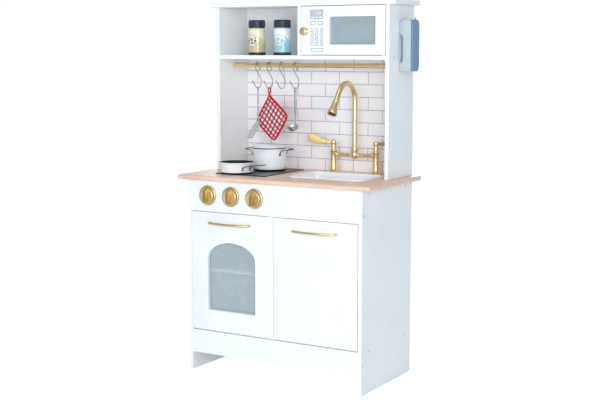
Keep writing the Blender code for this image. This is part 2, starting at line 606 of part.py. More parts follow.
ladle_x = HOOK_X[3]
ladle_mesh = plate_mesh("ladle", strip(0.0050, 0.0046, 0.0019, 0.1040, 0.0620),
                        [circle(0, 0, EYE_R, 14)], 0.0014)
ladle_mesh.transform(place((ladle_x, HANG_Y, eye_z)) @ facing)
ladle = add("ladle", ladle_mesh, STEEL, (ladle_x, HANG_Y, HOOK_LOW))
R_OUT, R_IN = 0.0180, 0.0168
bowl = [(R_IN, 0.0), (R_OUT, 0.0)]
bowl += [(R_OUT * cos(radians(a)), -R_OUT * sin(radians(a))) for a in range(15, 90, 15)]
bowl += [(0, -R_OUT)]
inner = [(R_IN * cos(radians(a)), -R_IN * sin(radians(a))) for a in range(15, 90, 15)]
bowl_loop = [(0, -R_IN)] + inner[::-1] + bowl
union(ladle, turned_mesh("ladle_bowl", bowl_loop, place((ladle_x, HANG_Y - 0.0170, eye_z - 0.1000)), 20))

# ------------------------------------------------------------------ pot holder
HOLD_X = HOOK_X[1]
HOLD_HALF = 0.0500
corner_z = 0.7660
lean_z = radians(-24)


def pad_point(u, v, side):
    """Corner-hung square pad; u and v run along its two sides from the top corner."""
    n = 8
    a, b = (u / n - 0.5) * 2, (v / n - 0.5) * 2
    across = (u - v) / n * HOLD_HALF * 2 * 0.7071
    down = (u + v) / n * HOLD_HALF * 2 * 0.7071
    crown = sqrt(max(0, 1 - a * a) * max(0, 1 - b * b))
    thick = 0.0018 if crown == 0 else 0.0020 + 0.0020 * crown
    bow = 0.0060 * (across / 0.07) ** 2
    local = Vector((across, side * thick - bow, -down))
    return Matrix.Rotation(lean_z, 3, 'Z') @ local + Vector((HOLD_X, HANG_Y, corner_z))


bm = bmesh.new()
sheets = [[[bm.verts.new(pad_point(i, j, s)) for j in range(9)] for i in range(9)] for s in (-1, 1)]
for grid in sheets:
    for i in range(8):
        for j in range(8):
            bm.faces.new((grid[i][j], grid[i + 1][j], grid[i + 1][j + 1], grid[i][j + 1]))
edge = [(i, 0) for i in range(8)] + [(8, j) for j in range(8)] + [(8 - i, 8) for i in range(8)] \
    + [(0, 8 - j) for j in range(8)]
for (a, b), (c, d) in zip(edge, edge[1:] + edge[:1]):
    bm.faces.new((sheets[0][a][b], sheets[0][c][d], sheets[1][c][d], sheets[1][a][b]))
holder = add("pot_holder", finish(bm, "pot_holder"), ((0.80, 0.10, 0.13), 0.0, 0.85),
             (HOLD_X, HANG_Y, HOOK_LOW))
loop_pts = []
for k in range(16):
    a = 2 * pi * k / 16
    high = 0.0096 if sin(a) > 0 else 0.0150
    loop_pts.append((HOLD_X + 0.0042 * cos(a), HANG_Y, 0.7785 + high * sin(a)))
union(holder, tube_mesh("holder_loop", loop_pts, 0.0017, True, 1))

# ------------------------------------------------------------------ pan and pot
PAN_H, PAN_TOP, PAN_LOW, WALL = 0.0310, 0.0495, 0.0455, 0.0014
pan_at = (*PAN_AT, ZH)
turned("pan", [(0, 0.0020), (PAN_LOW - 0.0040, 0.0020), (PAN_LOW - WALL, 0.0044),
               (PAN_TOP - WALL - 0.0006, PAN_H - 0.0010),
               (PAN_TOP + 0.0002, PAN_H), (PAN_TOP + 0.0012, PAN_H - 0.0008),
               (PAN_TOP + 0.0006, PAN_H - 0.0022),
               (PAN_TOP - 0.0008, PAN_H - 0.0040), (PAN_LOW, 0.0036), (PAN_LOW - 0.0012, 0.0010),
               (PAN_LOW - 0.0030, 0.0),
               (0, 0.0)], place(pan_at), ((0.92, 0.93, 0.94), 0.0, 0.2), pan_at, 28)
PAN_DIR = radians(-24)


def about(at, angle, r, side, z):
    """Point at radius r along a direction, side metres to its left, z above the base."""
    return (at[0] + r * cos(angle) - side * sin(angle), at[1] + r * sin(angle) + side * cos(angle),
            at[2] + z)


pan_wire = []
for r, s, z in ((0.0497, 0.0125, 0.0160), (0.0530, 0.0125, 0.0185), (0.0580, 0.0118, 0.0205),
                (0.0700, 0.0085, 0.0232),
                (0.0900, 0.0060, 0.0262), (0.1200, 0.0058, 0.0300), (0.1345, 0.0050, 0.0318),
                (0.1385, 0.0030, 0.0322)):
    pan_wire.append((r, s, z))
pan_wire += [(r, -s, z) for r, s, z in reversed(pan_wire)]
add("pan_handle", tube_mesh("pan_handle", [about(pan_at, PAN_DIR, r, s, z) for r, s, z in pan_wire],
                            0.0013, False, 1),
    STEEL, pan_at)

POT_H, POT_R = 0.0680, 0.0480
pot_at = (*POT_AT, ZH)
turned("pot", [(0, 0.0020), (POT_R - 0.0090, 0.0022), (POT_R - 0.0034, 0.0060), (POT_R - WALL, 0.0120),
               (POT_R - WALL, POT_H - 0.0060), (POT_R - 0.0004, POT_H - 0.0036), (POT_R + 0.0030, POT_H),
               (POT_R + 0.0044, POT_H - 0.0006), (POT_R + 0.0046, POT_H - 0.0020),
               (POT_R + 0.0014, POT_H - 0.0042),
               (POT_R, POT_H - 0.0066), (POT_R, 0.0110), (POT_R - 0.0020, 0.0046),
               (POT_R - 0.0050, 0.0010),
               (POT_R - 0.0080, 0.0), (0, 0.0)], place(pot_at), ((0.92, 0.93, 0.94), 0.0, 0.2), pot_at,
               28)
POT_DIR = radians(9)
for turn, side in ((0.0, "right"), (pi, "left")):
    arm = [(30, 0.0497, 0.0490), (30, 0.0520, 0.0530), (29.5, 0.0548, 0.0570), (28.5, 0.0580, 0.0592),
           (25, 0.0640, 0.0600), (17, 0.0688, 0.0603), (8, 0.0704, 0.0604)]
    arm += [(-ang, r, z) for ang, r, z in reversed(arm)]
    wire = [about(pot_at, POT_DIR + turn + radians(ang), r, 0.0, z) for ang, r, z in arm]
    add("pot_handle_" + side, tube_mesh("pot_handle", wire, 0.0013, False, 1), STEEL, pot_at)

# ------------------------------------------------------------------ jars
JAR = [(0, 0.0840), (0.0205, 0.0840), (0.0205, 0.0760), (0.0218, 0.0745), (0.0238, 0.0725),
       (0.0246, 0.0690),
       (0.0246, 0.0080), (0.0250, 0.0072), (0.0250, 0.0012), (0.0240, 0.0003), (0, 0.0003)]
CAP = [(0, 0.0985), (0.0205, 0.0985), (0.0228, 0.0978), (0.0236, 0.0962), (0.0238, 0.0768),
       (0.0210, 0.0763),
       (0.0208, 0.0770), (0.0208, 0.0843), (0, 0.0843)]
for name, x, look in (("pepper", JAR_X[0], ((0.55, 0.47, 0.30), 0.0, 0.3)),
                      ("salt", JAR_X[1], ((0.72, 0.82, 0.88), 0.0, 0.3))):
    base = (x, JAR_Y, SHELF_TOP)
    turned(name + "_jar", JAR, place(base), look, base, 22)
    turned(name + "_cap", CAP, place(base), ((0.03, 0.035, 0.06), 0.0, 0.35), base, 22)

# ------------------------------------------------------------------ phone on the side panel
PX = XO
phone_origin = (PX, (PHONE_Y[0] + PHONE_Y[1]) / 2, (PHONE_Z[0] + PHONE_Z[1]) / 2)
y0, y1 = PHONE_Y
body = [(0.8365, 0.0040, 0.0305, 0.0030), (0.8378, 0.0018, 0.0330, 0.0012),
        (0.8405, 0.0006, 0.0343, 0.0003),
        (0.8560, GAP, 0.0345, 0.0), (0.8600, 0.0030, 0.0345, 0.0), (0.8640, 0.0098, 0.0345, 0.0),
        (0.8680, 0.0106, 0.0345, 0.0), (0.8860, 0.0108, 0.0345, -0.0016),
        (0.8980, 0.0108, 0.0345, -0.0026),
        (0.9120, 0.0108, 0.0345, -0.0026), (0.9240, 0.0106, 0.0345, -0.0012),
        (0.9290, 0.0098, 0.0345, 0.0),
        (0.9335, 0.0036, 0.0345, 0.0), (0.9385, GAP, 0.0345, 0.0), (0.9600, GAP, 0.0345, 0.0),
        (0.9660, 0.0020, 0.0343, 0.0004), (0.9705, 0.0058, 0.0336, 0.0014),
        (0.9735, 0.0120, 0.0315, 0.0034)]
rings = [rounded_loop(PX + xa, PX + xb, y0 + inset, y1 - inset, 0.0036, z, 3) for z, xa, xb,
         inset in body]
add("phone_handset", loft_mesh("phone_handset", rings), ((0.74, 0.79, 0.82), 0.0, 0.4), phone_origin)
cover = [(0.8375, 0.0022, 0.0030, 0.0095), (0.8395, 0.0028, 0.0008, 0.0060),
         (0.8470, 0.0032, 0.0, 0.0010),
         (0.8600, 0.0036, 0.0, 0.0), (0.8800, 0.0040, 0.0, 0.0), (0.9050, 0.0042, 0.0, 0.0),
         (0.9300, 0.0040, 0.0, 0.0), (0.9500, 0.0036, 0.0, 0.0), (0.9630, 0.0032, 0.0, 0.0012),
         (0.9705, 0.0028, 0.0010, 0.0065), (0.9725, 0.0022, 0.0034, 0.0100)]
rings = [rounded_loop(PX + 0.0345 + GAP, PX + 0.0345 + GAP + t, y0 + fa, y1 - fb, min(0.0012, t * 0.45),
                      z, 2)
         for z, t, fa, fb in cover]
phone_cover = add("phone_cover", loft_mesh("phone_cover", rings), ((0.28, 0.36, 0.50), 0.0, 0.35),
                  phone_origin)
ring_z = PHONE_Z[1] + 0.0022
eye = [(PX + 0.0362, -0.0685 + 0.0030 * cos(2 * pi * k / 20), ring_z + 0.0030 * sin(2 * pi * k / 20))
       for k in range(20)]
union(phone_cover, tube_mesh("phone_eye", eye, 0.0008, True, 1))
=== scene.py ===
"""Looks of the toy kitchen: finishes for its boards, and detailed pieces for the rest.

Pieces are drawn in cabinet coordinates (x from the middle of the cabinet, y from its back with the
front towards -y, z from the floor, in metres) and moved into the frame's own coordinates by put().
"""
from math import acos, cos, pi, radians, sin, sqrt

import bmesh
import bpy
from mathutils import Matrix, Vector


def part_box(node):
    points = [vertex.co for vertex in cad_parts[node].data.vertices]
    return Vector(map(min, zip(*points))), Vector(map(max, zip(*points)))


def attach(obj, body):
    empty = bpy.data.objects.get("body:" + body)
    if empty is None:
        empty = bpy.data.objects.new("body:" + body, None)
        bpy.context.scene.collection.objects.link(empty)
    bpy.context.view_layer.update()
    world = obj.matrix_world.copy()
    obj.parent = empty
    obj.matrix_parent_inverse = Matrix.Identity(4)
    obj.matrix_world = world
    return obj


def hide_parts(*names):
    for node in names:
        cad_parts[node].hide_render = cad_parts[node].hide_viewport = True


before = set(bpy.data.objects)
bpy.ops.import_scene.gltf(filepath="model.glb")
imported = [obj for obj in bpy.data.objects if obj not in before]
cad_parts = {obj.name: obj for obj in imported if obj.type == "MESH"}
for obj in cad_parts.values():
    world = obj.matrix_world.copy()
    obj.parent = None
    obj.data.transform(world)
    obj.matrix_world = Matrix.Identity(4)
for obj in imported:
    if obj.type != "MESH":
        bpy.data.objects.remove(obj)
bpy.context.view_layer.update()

# ------------------------------------------------------------------ places taken from the frame
LEFT_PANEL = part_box("lower_side_left")
RIGHT_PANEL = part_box("lower_side_right")
ORIGIN = Vector(((LEFT_PANEL[0].x + RIGHT_PANEL[1].x) / 2, LEFT_PANEL[1].y, 0.0))


def lowest(node):
    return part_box(node)[0] - ORIGIN


def highest(node):
    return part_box(node)[1] - ORIGIN


def middle(node):
    return (lowest(node) + highest(node)) / 2


SIDE_X = highest("lower_side_right").x
FRONT_Y = lowest("control_fascia").y
UPPER_FRONT_Y = lowest("microwave_door").y
WORKTOP_Z = highest("worktop").z
HOB_Z = highest("hob_plate").z + 0.0003
RAIL = middle("towel_rail")
HOOK_X = [middle(f"s_hook_{k}").x for k in (1, 2, 3, 4)]
HANG = Vector((0, RAIL.y + 0.0010, lowest("s_hook_3").z + 0.0011))


# ------------------------------------------------------------------ workshop: selecting and placing
def clear_selection():
    for obj in list(bpy.context.selected_objects):
        obj.select_set(False)


def select_only(*objs):
    clear_selection()
    for obj in objs:
        obj.select_set(True)
    bpy.context.view_layer.objects.active = objs[0]


def settle(obj):
    """Put an object's place, turn and size into its mesh."""
    select_only(obj)
    bpy.ops.object.transform_apply(location=True, rotation=True, scale=True)
    return obj


def named(name):
    obj = bpy.context.active_object
    obj.name = name
    obj.data.name = name
    return obj


def begin(obj):
    select_only(obj)
    bpy.ops.object.mode_set(mode='EDIT')
    bpy.ops.mesh.select_all(action='DESELECT')


def end():
    bpy.ops.object.mode_set(mode='OBJECT')


def pick_faces(obj, test):
    """In edit mode, select the faces whose middle and normal pass a test."""
    bpy.ops.mesh.select_all(action='DESELECT')
    bpy.ops.mesh.select_mode(type='FACE')
    bm = bmesh.from_edit_mesh(obj.data)
    for face in bm.faces:
        face.select = bool(test(face.calc_center_median(), face.normal))
    bmesh.update_edit_mesh(obj.data)


def pick_edges(obj, test):
    """In edit mode, select the edges whose two ends pass a test."""
    bpy.ops.mesh.select_all(action='DESELECT')
    bpy.ops.mesh.select_mode(type='EDGE')
    bm = bmesh.from_edit_mesh(obj.data)
    for edge in bm.edges:
        edge.select = bool(test(edge.verts[0].co, edge.verts[1].co))
    bmesh.update_edit_mesh(obj.data)


def slide(value):
    bpy.ops.transform.translate(value=value)


def pull(value):
    bpy.ops.mesh.extrude_region_move(TRANSFORM_OT_translate={"value": value})


def use_modifiers(obj):
    select_only(obj)
    for mod in list(obj.modifiers):
        bpy.ops.object.modifier_apply(modifier=mod.name)
    return obj


def smooth(obj, angle=35):
    select_only(obj)
    bpy.ops.object.shade_smooth_by_angle(angle=radians(angle))
    return obj


def soften(obj, width, segments=2, angle=35):
    """Round the sharp edges and shade the rest smooth."""
    mod = obj.modifiers.new("soften", 'BEVEL')
    mod.width = width
    mod.segments = segments
    mod.limit_method = 'ANGLE'
    mod.angle_limit = radians(angle)
    mod.harden_normals = False
    use_modifiers(obj)
    return smooth(obj, 40)


def join(name, *objs):
    select_only(*objs)
    bpy.ops.object.join()
    return named(name)


def cut(obj, tool, operation='DIFFERENCE'):
    mod = obj.modifiers.new("cut", 'BOOLEAN')
    mod.operation = operation
    mod.solver = 'EXACT'
    mod.object = tool
    use_modifiers(obj)
    bpy.data.objects.remove(tool, do_unlink=True)
    return obj


# ------------------------------------------------------------------ workshop: shapes
def block(name, lo, hi, edge=0.0006, segments=2):
    """Straight piece between two corners, with rounded edges."""
    lo, hi = Vector(lo), Vector(hi)
    clear_selection()
    bpy.ops.mesh.primitive_cube_add(size=1, location=(lo + hi) / 2)
    obj = named(name)
    obj.scale = hi - lo
    settle(obj)
    if edge:
        soften(obj, edge, segments)
    return obj


def turned(name, profile, at=(0, 0, 0), turn=(0, 0, 0), steps=64):
    """Profile of (radius, height) points spun round the upright axis, then tilted and set in place."""
    clear_selection()
    bpy.ops.mesh.primitive_plane_add(size=0.001)
    obj = named(name)
    bpy.ops.object.mode_set(mode='EDIT')
    bpy.ops.mesh.select_mode(type='VERT')
    bpy.ops.mesh.select_all(action='SELECT')
    bpy.ops.mesh.merge(type='CENTER')
    slide((profile[0][0], 0, profile[0][1]))
    for (ra, za), (rb, zb) in zip(profile, profile[1:]):
        pull((rb - ra, 0, zb - za))
    bpy.ops.mesh.select_all(action='SELECT')
    bpy.ops.mesh.spin(steps=steps, angle=2 * pi, center=(0, 0, 0), axis=(0, 0, 1))
    bpy.ops.mesh.select_all(action='SELECT')
    bpy.ops.mesh.remove_doubles(threshold=0.00001)
    bpy.ops.mesh.normals_make_consistent(inside=False)
    end()
    obj.rotation_euler = turn
    obj.location = at
    settle(obj)
    return smooth(obj, 40)


def tube(name, points, radius, cyclic=False, sides=5, finer=8, taper=None):
    """Round wire or pipe through points; taper gives its width at each point."""
    clear_selection()
    bpy.ops.curve.primitive_bezier_curve_add()
    curve = bpy.context.active_object.data
    spline = curve.splines[0]
    spline.bezier_points.add(len(points) - 2)
    for k, (knot, place) in enumerate(zip(spline.bezier_points, points)):
        knot.co = place
        knot.radius = taper[k] if taper else 1.0
        knot.handle_left_type = 'AUTO'
        knot.handle_right_type = 'AUTO'
    spline.use_cyclic_u = cyclic
    curve.resolution_u = finer
    curve.bevel_depth = radius
    curve.bevel_resolution = sides
    curve.use_fill_caps = not cyclic
    bpy.ops.object.convert(target='MESH')
    obj = named(name)
    begin(obj)
    bpy.ops.mesh.select_all(action='SELECT')
    bpy.ops.mesh.remove_doubles(threshold=0.00002)
    bpy.ops.mesh.normals_make_consistent(inside=False)
    end()
    return smooth(settle(obj), 50)


def plate(name, loops, thick, edge=0.0, depth=3):
    """Flat piece lying in its XY plane, from an outline and holes, with rounded edges."""
    curve = bpy.data.curves.new(name, 'CURVE')
    curve.dimensions = '2D'
    curve.fill_mode = 'BOTH'
    curve.extrude = thick / 2 - edge
    curve.bevel_depth = edge
    curve.bevel_resolution = depth
    curve.offset = -edge
    for loop in loops:
        spline = curve.splines.new('POLY')
        spline.points.add(len(loop) - 1)
        for point, place in zip(spline.points, loop):
            point.co = (place[0], place[1], 0.0, 1.0)
        spline.use_cyclic_u = True
    obj = bpy.data.objects.new(name, curve)
    bpy.context.scene.collection.objects.link(obj)
    select_only(obj)
    bpy.ops.object.convert(target='MESH')
    obj = named(name)
    begin(obj)
    bpy.ops.mesh.select_all(action='SELECT')
    bpy.ops.mesh.remove_doubles(threshold=0.00001)
    bpy.ops.mesh.normals_make_consistent(inside=False)
    end()
    return smooth(obj, 35)


def stand_up(obj, at=(0, 0, 0)):
    """Turn a flat piece so that its face looks to the front, and set it in place."""
    obj.data.transform(Matrix.Translation(at) @ Matrix.Rotation(pi / 2, 4, 'X'))
    return obj


def oval(rx, ry, count=48, cx=0.0, cy=0.0):
    return [(cx + rx * cos(2 * pi * k / count), cy + ry * sin(2 * pi * k / count)) for k in range(count)]


def rounded_box(x0, x1, y0, y1, r, per=6):
    loop = []
    for cx, cy, q in ((x1 - r, y1 - r, 0), (x0 + r, y1 - r, 1), (x0 + r, y0 + r, 2), (x1 - r, y0 + r, 3)):
        for k in range(per + 1):
            a = (q + k / per) * pi / 2
            loop.append((cx + r * cos(a), cy + r * sin(a)))
    return loop


def arch_loop(cx, half, low, spring, top, count=48):
    loop = [(cx - half, low), (cx + half, low)]
    for k in range(count + 1):
        a = pi * k / count
        loop.append((cx + half * cos(a), spring + (top - spring) * sin(a)))
    return loop


def put(obj, body, *stands_for, slot=None):
    """Move a finished piece from cabinet coordinates into the frame, and hang it on its body."""
    obj.data.transform(Matrix.Translation(ORIGIN))
    obj.data.update()
    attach(obj, body)
    if stands_for:
        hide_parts(*stands_for)
    return obj


# ------------------------------------------------------------------ workshop: finishes
def add_node(tree, kind, inputs=None, **settings):
    made = tree.nodes.new("ShaderNode" + kind)
    for key, value in settings.items():
        setattr(made, key, value)
    for key, value in (inputs or {}).items():
        if isinstance(value, bpy.types.NodeSocket):
            tree.links.new(value, made.inputs[key])
        else:
            made.inputs[key].default_value = value
    return made


def new_finish(name, rough=0.4, metal=0.0, **more):
    mat = bpy.data.materials.new(name)
    mat.use_nodes = True
    shader = mat.node_tree.nodes["Principled BSDF"]
    shader.inputs["Roughness"].default_value = rough
    shader.inputs["Metallic"].default_value = metal
    for key, value in more.items():
        shader.inputs[key.replace("_", " ")].default_value = value
    return mat, mat.node_tree, shader


def own_place(tree, scale=(1, 1, 1)):
    """The piece's own coordinates, stretched by scale."""
    here = add_node(tree, "TexCoord")
    return add_node(tree, "Mapping", {"Vector": here.outputs["Object"], "Scale": scale}).outputs[0]


def cloud(tree, place, size, detail=2.0, rough=0.5):
    """Noise whose blotches are about size metres across."""
    made = add_node(tree, "TexNoise", {"Vector": place, "Scale": 1.0 / size, "Detail": detail,
                                       "Roughness": rough})
    return made.outputs["Fac"]


def shades(tree, amount, *stops):
    """Colour ramp from (position, colour) stops."""
    made = add_node(tree, "ValToRGB", {"Fac": amount})
    ramp = made.color_ramp
    while len(ramp.elements) < len(stops):
        ramp.elements.new(0.5)
    for element, (position, colour) in zip(ramp.elements, stops):
        element.position = position
        element.color = (*colour, 1.0)
    return made.outputs["Color"]


def spread(tree, amount, low, high):
    """Noise stretched to run from low to high."""
    return add_node(tree, "MapRange", {"Value": amount, "From Min": 0.25, "From Max": 0.75,
                                       "To Min": low, "To Max": high}).outputs[0]


def relief(tree, shader, height, depth, strength=1.0):
    """Raised and sunken surface, depth metres high."""
    made = add_node(tree, "Bump", {"Height": height, "Distance": depth, "Strength": strength})
    tree.links.new(made.outputs["Normal"], shader.inputs["Normal"])


def sums(tree, operation, a, b=None):
    """One step of arithmetic on one or two values."""
    inputs = {0: a}
    if b is not None:
        inputs[1] = b
    return add_node(tree, "Math", inputs, operation=operation).outputs[0]


def mixed(tree, amount, a, b):
    """Colour a where amount is 0, colour b where it is 1."""
    return add_node(tree, "Mix", {"Factor": amount, 6: a, 7: b}, data_type='RGBA').outputs[2]


def lighter(colour, k):
    return tuple(min(1.0, c * k) for c in colour)


def satin(name, colour, rough=0.35, vary=0.02, size=0.09, peel=0.0016, depth=0.00002, **more):
    """Sprayed or moulded surface: broad, faint colour change and a fine peel."""
    mat, tree, shader = new_finish(name, **more)
    place = own_place(tree)
    broad = cloud(tree, place, size)
    fine = cloud(tree, place, peel, 3.0)
    tree.links.new(shades(tree, broad, (0.3, lighter(colour, 1 - vary)),
                          (0.7, lighter(colour, 1 + vary))),
                   shader.inputs["Base Color"])
    tree.links.new(spread(tree, fine, rough - 0.05, rough + 0.06), shader.inputs["Roughness"])
    relief(tree, shader, fine, depth)
    return mat


def brushed(name, colour, rough, stretch, vary=0.10, depth=0.000012):
    """Metal rubbed in one direction; stretch holds the sizes of the scratches along x, y and z."""
    mat, tree, shader = new_finish(name, metal=1.0)
    place = own_place(tree, tuple(1.0 / s for s in stretch))
    lines = cloud(tree, place, 1.0, 4.0, 0.6)
    broad = cloud(tree, own_place(tree), 0.03)
    both = sums(tree, 'ADD', sums(tree, 'MULTIPLY', lines, 0.6), sums(tree, 'MULTIPLY', broad, 0.4))
    tree.links.new(shades(tree, both, (0.3, lighter(colour, 1 - vary)), (0.7, lighter(colour, 1 + vary))),
                   shader.inputs["Base Color"])
    tree.links.new(spread(tree, lines, rough - 0.06, rough + 0.10), shader.inputs["Roughness"])
    relief(tree, shader, lines, depth)
    return mat


def wood(name, dark, light, rough=0.42):
    """Pale board with long grain and small pores along x."""
    mat, tree, shader = new_finish(name, Coat_Weight=0.15, Coat_Roughness=0.25)
    wander = cloud(tree, own_place(tree, (1.6, 9.0, 9.0)), 0.6, 3.0)
    bent = add_node(tree, "VectorMath", {0: own_place(tree, (1.0, 14.0, 14.0)), 1: wander},
                    operation='ADD').outputs[0]
    rings = cloud(tree, bent, 0.16, 5.0, 0.62)
    pores = cloud(tree, own_place(tree, (30.0, 900.0, 900.0)), 1.0, 2.0)
    grain = sums(tree, 'ADD', sums(tree, 'MULTIPLY', rings, 0.75), sums(tree, 'MULTIPLY', pores, 0.25))
    tree.links.new(shades(tree, grain, (0.34, dark), (0.52, lighter(light, 0.97)), (0.68, light)),
                   shader.inputs["Base Color"])
    tree.links.new(spread(tree, grain, rough + 0.06, rough - 0.05), shader.inputs["Roughness"])
    relief(tree, shader, pores, 0.00003)
    return mat


def tiles(name, tile_w, tile_h, joint, first_x, first_z, shelf_z):
    """Printed brick tiles with grey joints below the shelf, plain pale laminate above it."""
    mat, tree, shader = new_finish(name, Coat_Weight=0.2, Coat_Roughness=0.2)
    here = add_node(tree, "TexCoord").outputs["Object"]
    split = add_node(tree, "SeparateXYZ", {0: here})
    across = sums(tree, 'SUBTRACT', split.outputs["X"], first_x)
    up = sums(tree, 'SUBTRACT', split.outputs["Z"], first_z)
    flat = add_node(tree, "CombineXYZ", {0: across, 1: up}).outputs[0]
    bricks = add_node(tree, "TexBrick", {
        "Vector": flat, "Color1": (0.93, 0.91, 0.935, 1), "Color2": (0.97, 0.95, 0.965, 1),
        "Mortar": (0.40, 0.38, 0.41, 1), "Scale": 1.0, "Mortar Size": joint / 2, "Mortar Smooth": 0.15,
        "Bias": 0.1, "Brick Width": tile_w, "Row Height": tile_h}, offset=0.5, offset_frequency=2)
    above = sums(tree, 'GREATER_THAN', split.outputs["Z"], shelf_z)
    mist = shades(tree, cloud(tree, own_place(tree), 0.05), (0.3, (0.88, 0.90, 0.91)),
                  (0.7, (0.92, 0.93, 0.94)))
    tree.links.new(mixed(tree, above, bricks.outputs["Color"], mist), shader.inputs["Base Color"])
    fine = cloud(tree, own_place(tree), 0.0015, 2.0)
    tree.links.new(spread(tree, fine, 0.30, 0.38), shader.inputs["Roughness"])
    grooves = sums(tree, 'MULTIPLY', bricks.outputs["Fac"], sums(tree, 'SUBTRACT', 1.0, above))
    relief(tree, shader, sums(tree, 'SUBTRACT', 1.0, grooves), 0.00010, 0.5)
    return mat


def pane(name, colour, alpha):
    """Clear sheet that lets part of what is behind it show."""
    mat, tree, shader = new_finish(name, Alpha=alpha, Coat_Weight=0.3)
    haze = cloud(tree, own_place(tree), 0.02)
    tree.links.new(shades(tree, haze, (0.3, lighter(colour, 0.96)), (0.7, lighter(colour, 1.04))),
                   shader.inputs["Base Color"])
    tree.links.new(spread(tree, haze, 0.05, 0.11), shader.inputs["Roughness"])
    return mat


THREAD = 0.0009


def gingham(name, period, share):
    """Woven check on the piece's UV map, which is in metres: white, pink, and red where bands cross."""
    mat, tree, shader = new_finish(name, rough=0.9, Sheen_Weight=0.12, Sheen_Roughness=0.5)
    uv = add_node(tree, "UVMap", uv_map="UVMap").outputs["UV"]
    split = add_node(tree, "SeparateXYZ", {0: uv})
    bands, threads = [], []
    for axis in ("X", "Y"):
        repeat = sums(tree, 'FLOORED_MODULO', split.outputs[axis], period)
        bands.append(sums(tree, 'LESS_THAN', repeat, period * share))
        threads.append(sums(tree, 'SINE', sums(tree, 'MULTIPLY', split.outputs[axis], 2 * pi / THREAD)))
    both = sums(tree, 'MULTIPLY', sums(tree, 'ADD', bands[0], bands[1]), 0.5)
    fuzz = cloud(tree, own_place(tree), 0.0012, 3.0)
    shade = sums(tree, 'ADD', both, sums(tree, 'MULTIPLY', sums(tree, 'SUBTRACT', fuzz, 0.5), 0.10))
    tree.links.new(shades(tree, shade, (0.05, (0.93, 0.88, 0.88)), (0.47, (0.64, 0.07, 0.12)),
                          (0.95, (0.24, 0.006, 0.03))), shader.inputs["Base Color"])
    weave = sums(tree, 'MULTIPLY', threads[0], threads[1])
    relief(tree, shader, sums(tree, 'ADD', weave, fuzz), 0.00012)
    return mat


def cotton(name, colour, thread=0.0008):
    """Plain woven tape."""
    mat, tree, shader = new_finish(name, rough=0.88, Sheen_Weight=0.12, Sheen_Roughness=0.5)
    place = own_place(tree)
    fuzz = cloud(tree, place, thread, 3.0)
    broad = cloud(tree, place, 0.012)
    both = sums(tree, 'ADD', sums(tree, 'MULTIPLY', fuzz, 0.6), sums(tree, 'MULTIPLY', broad, 0.4))
    tree.links.new(shades(tree, both, (0.3, lighter(colour, 0.72)), (0.7, lighter(colour, 1.25))),
                   shader.inputs["Base Color"])
    relief(tree, shader, fuzz, 0.00015)
    return mat


def filled(name, low_colour, high_colour, low_z, high_z, grain):
    """Jar wall tinted by its filling: two shades up the height, with small grains."""
    mat, tree, shader = new_finish(name, rough=0.22, Coat_Weight=0.6, Coat_Roughness=0.06)
    here = add_node(tree, "TexCoord").outputs["Object"]
    split = add_node(tree, "SeparateXYZ", {0: here})
    grains = cloud(tree, own_place(tree), grain, 2.0)
    waves = sums(tree, 'MULTIPLY', cloud(tree, own_place(tree), 0.02), 0.006)
    wavy = sums(tree, 'ADD', split.outputs["Z"], waves)
    height = add_node(tree, "MapRange", {"Value": wavy, "From Min": low_z, "From Max": high_z}).outputs[0]
    speck = sums(tree, 'ADD', height, sums(tree, 'MULTIPLY', sums(tree, 'SUBTRACT', grains, 0.5), 0.9))
    tint = shades(tree, speck, (0.15, lighter(low_colour, 0.85)), (0.45, low_colour), (0.80, high_colour))
    tree.links.new(tint, shader.inputs["Base Color"])
    relief(tree, shader, grains, 0.00004)
    return mat


WHITE = satin("white_satin_paint", (0.93, 0.935, 0.94), 0.36)
CAVITY_WHITE = satin("white_inner_board", (0.92, 0.93, 0.94), 0.45)
GOLD_PADDLE = brushed("paddle_gold", (0.60, 0.45, 0.21), 0.42, (0.006, 0.002, 0.002), 0.08)
BACK_BOARD = satin("hardboard_back", (0.86, 0.855, 0.84), 0.55, 0.03, 0.03, 0.0012, 0.00004)
GOLD = brushed("brushed_gold", (0.83, 0.64, 0.36), 0.27, (0.0007, 0.0007, 0.030))
GOLD_ALONG = brushed("brushed_gold_rail", (0.84, 0.66, 0.38), 0.22, (0.040, 0.0006, 0.0006))
GOLD_SATIN = brushed("satin_gold", (0.79, 0.62, 0.34), 0.32, (0.002, 0.002, 0.002), 0.06)
# darker gold used as painted shade on the burner dials' sides and grips, and at the faucet columns' foot
# and groove
GOLD_SHADE = brushed("gold_painted_shade", (0.44, 0.31, 0.12), 0.30, (0.002, 0.002, 0.008), 0.10)
STEEL = brushed("polished_steel", (0.66, 0.66, 0.67), 0.16, (0.0006, 0.0006, 0.020), 0.08)
DARK_STEEL = brushed("dark_steel_wire", (0.17, 0.17, 0.19), 0.22, (0.0008, 0.0008, 0.01), 0.12)
ENAMEL = satin("white_enamel", (0.92, 0.935, 0.955), 0.10, 0.015, 0.04, 0.004, 0.00003,
               Coat_Weight=0.7, Coat_Roughness=0.05)
BLACK_ENAMEL = satin("black_enamel", (0.008, 0.008, 0.010), 0.30, 0.15, 0.03, 0.003, 0.00003,
                     Specular_IOR_Level=0.35)
# black used as painted shade: in the drain's holes, the screws' crosses, and round the feet of the pan,
# the pot and the jars
BLACK_SHADE = satin("black_painted_shade", (0.015, 0.016, 0.022), 0.40, 0.10, 0.02)
CERAMIC = satin("white_ceramic_plastic", (0.94, 0.935, 0.95), 0.16, 0.015, 0.08, 0.005, 0.00003,
                Coat_Weight=0.5, Coat_Roughness=0.05)
BLACK_PLASTIC = satin("navy_black_plastic", (0.018, 0.020, 0.045), 0.32, 0.15, 0.02)
PRINT = satin("grey_print", (0.33, 0.34, 0.37), 0.45, 0.05, 0.01)
PRINT_LIGHT = satin("light_grey_print", (0.50, 0.51, 0.55), 0.45, 0.05, 0.01)
PHONE_GREY = satin("phone_light_grey", (0.49, 0.56, 0.60), 0.38, 0.03, 0.03)
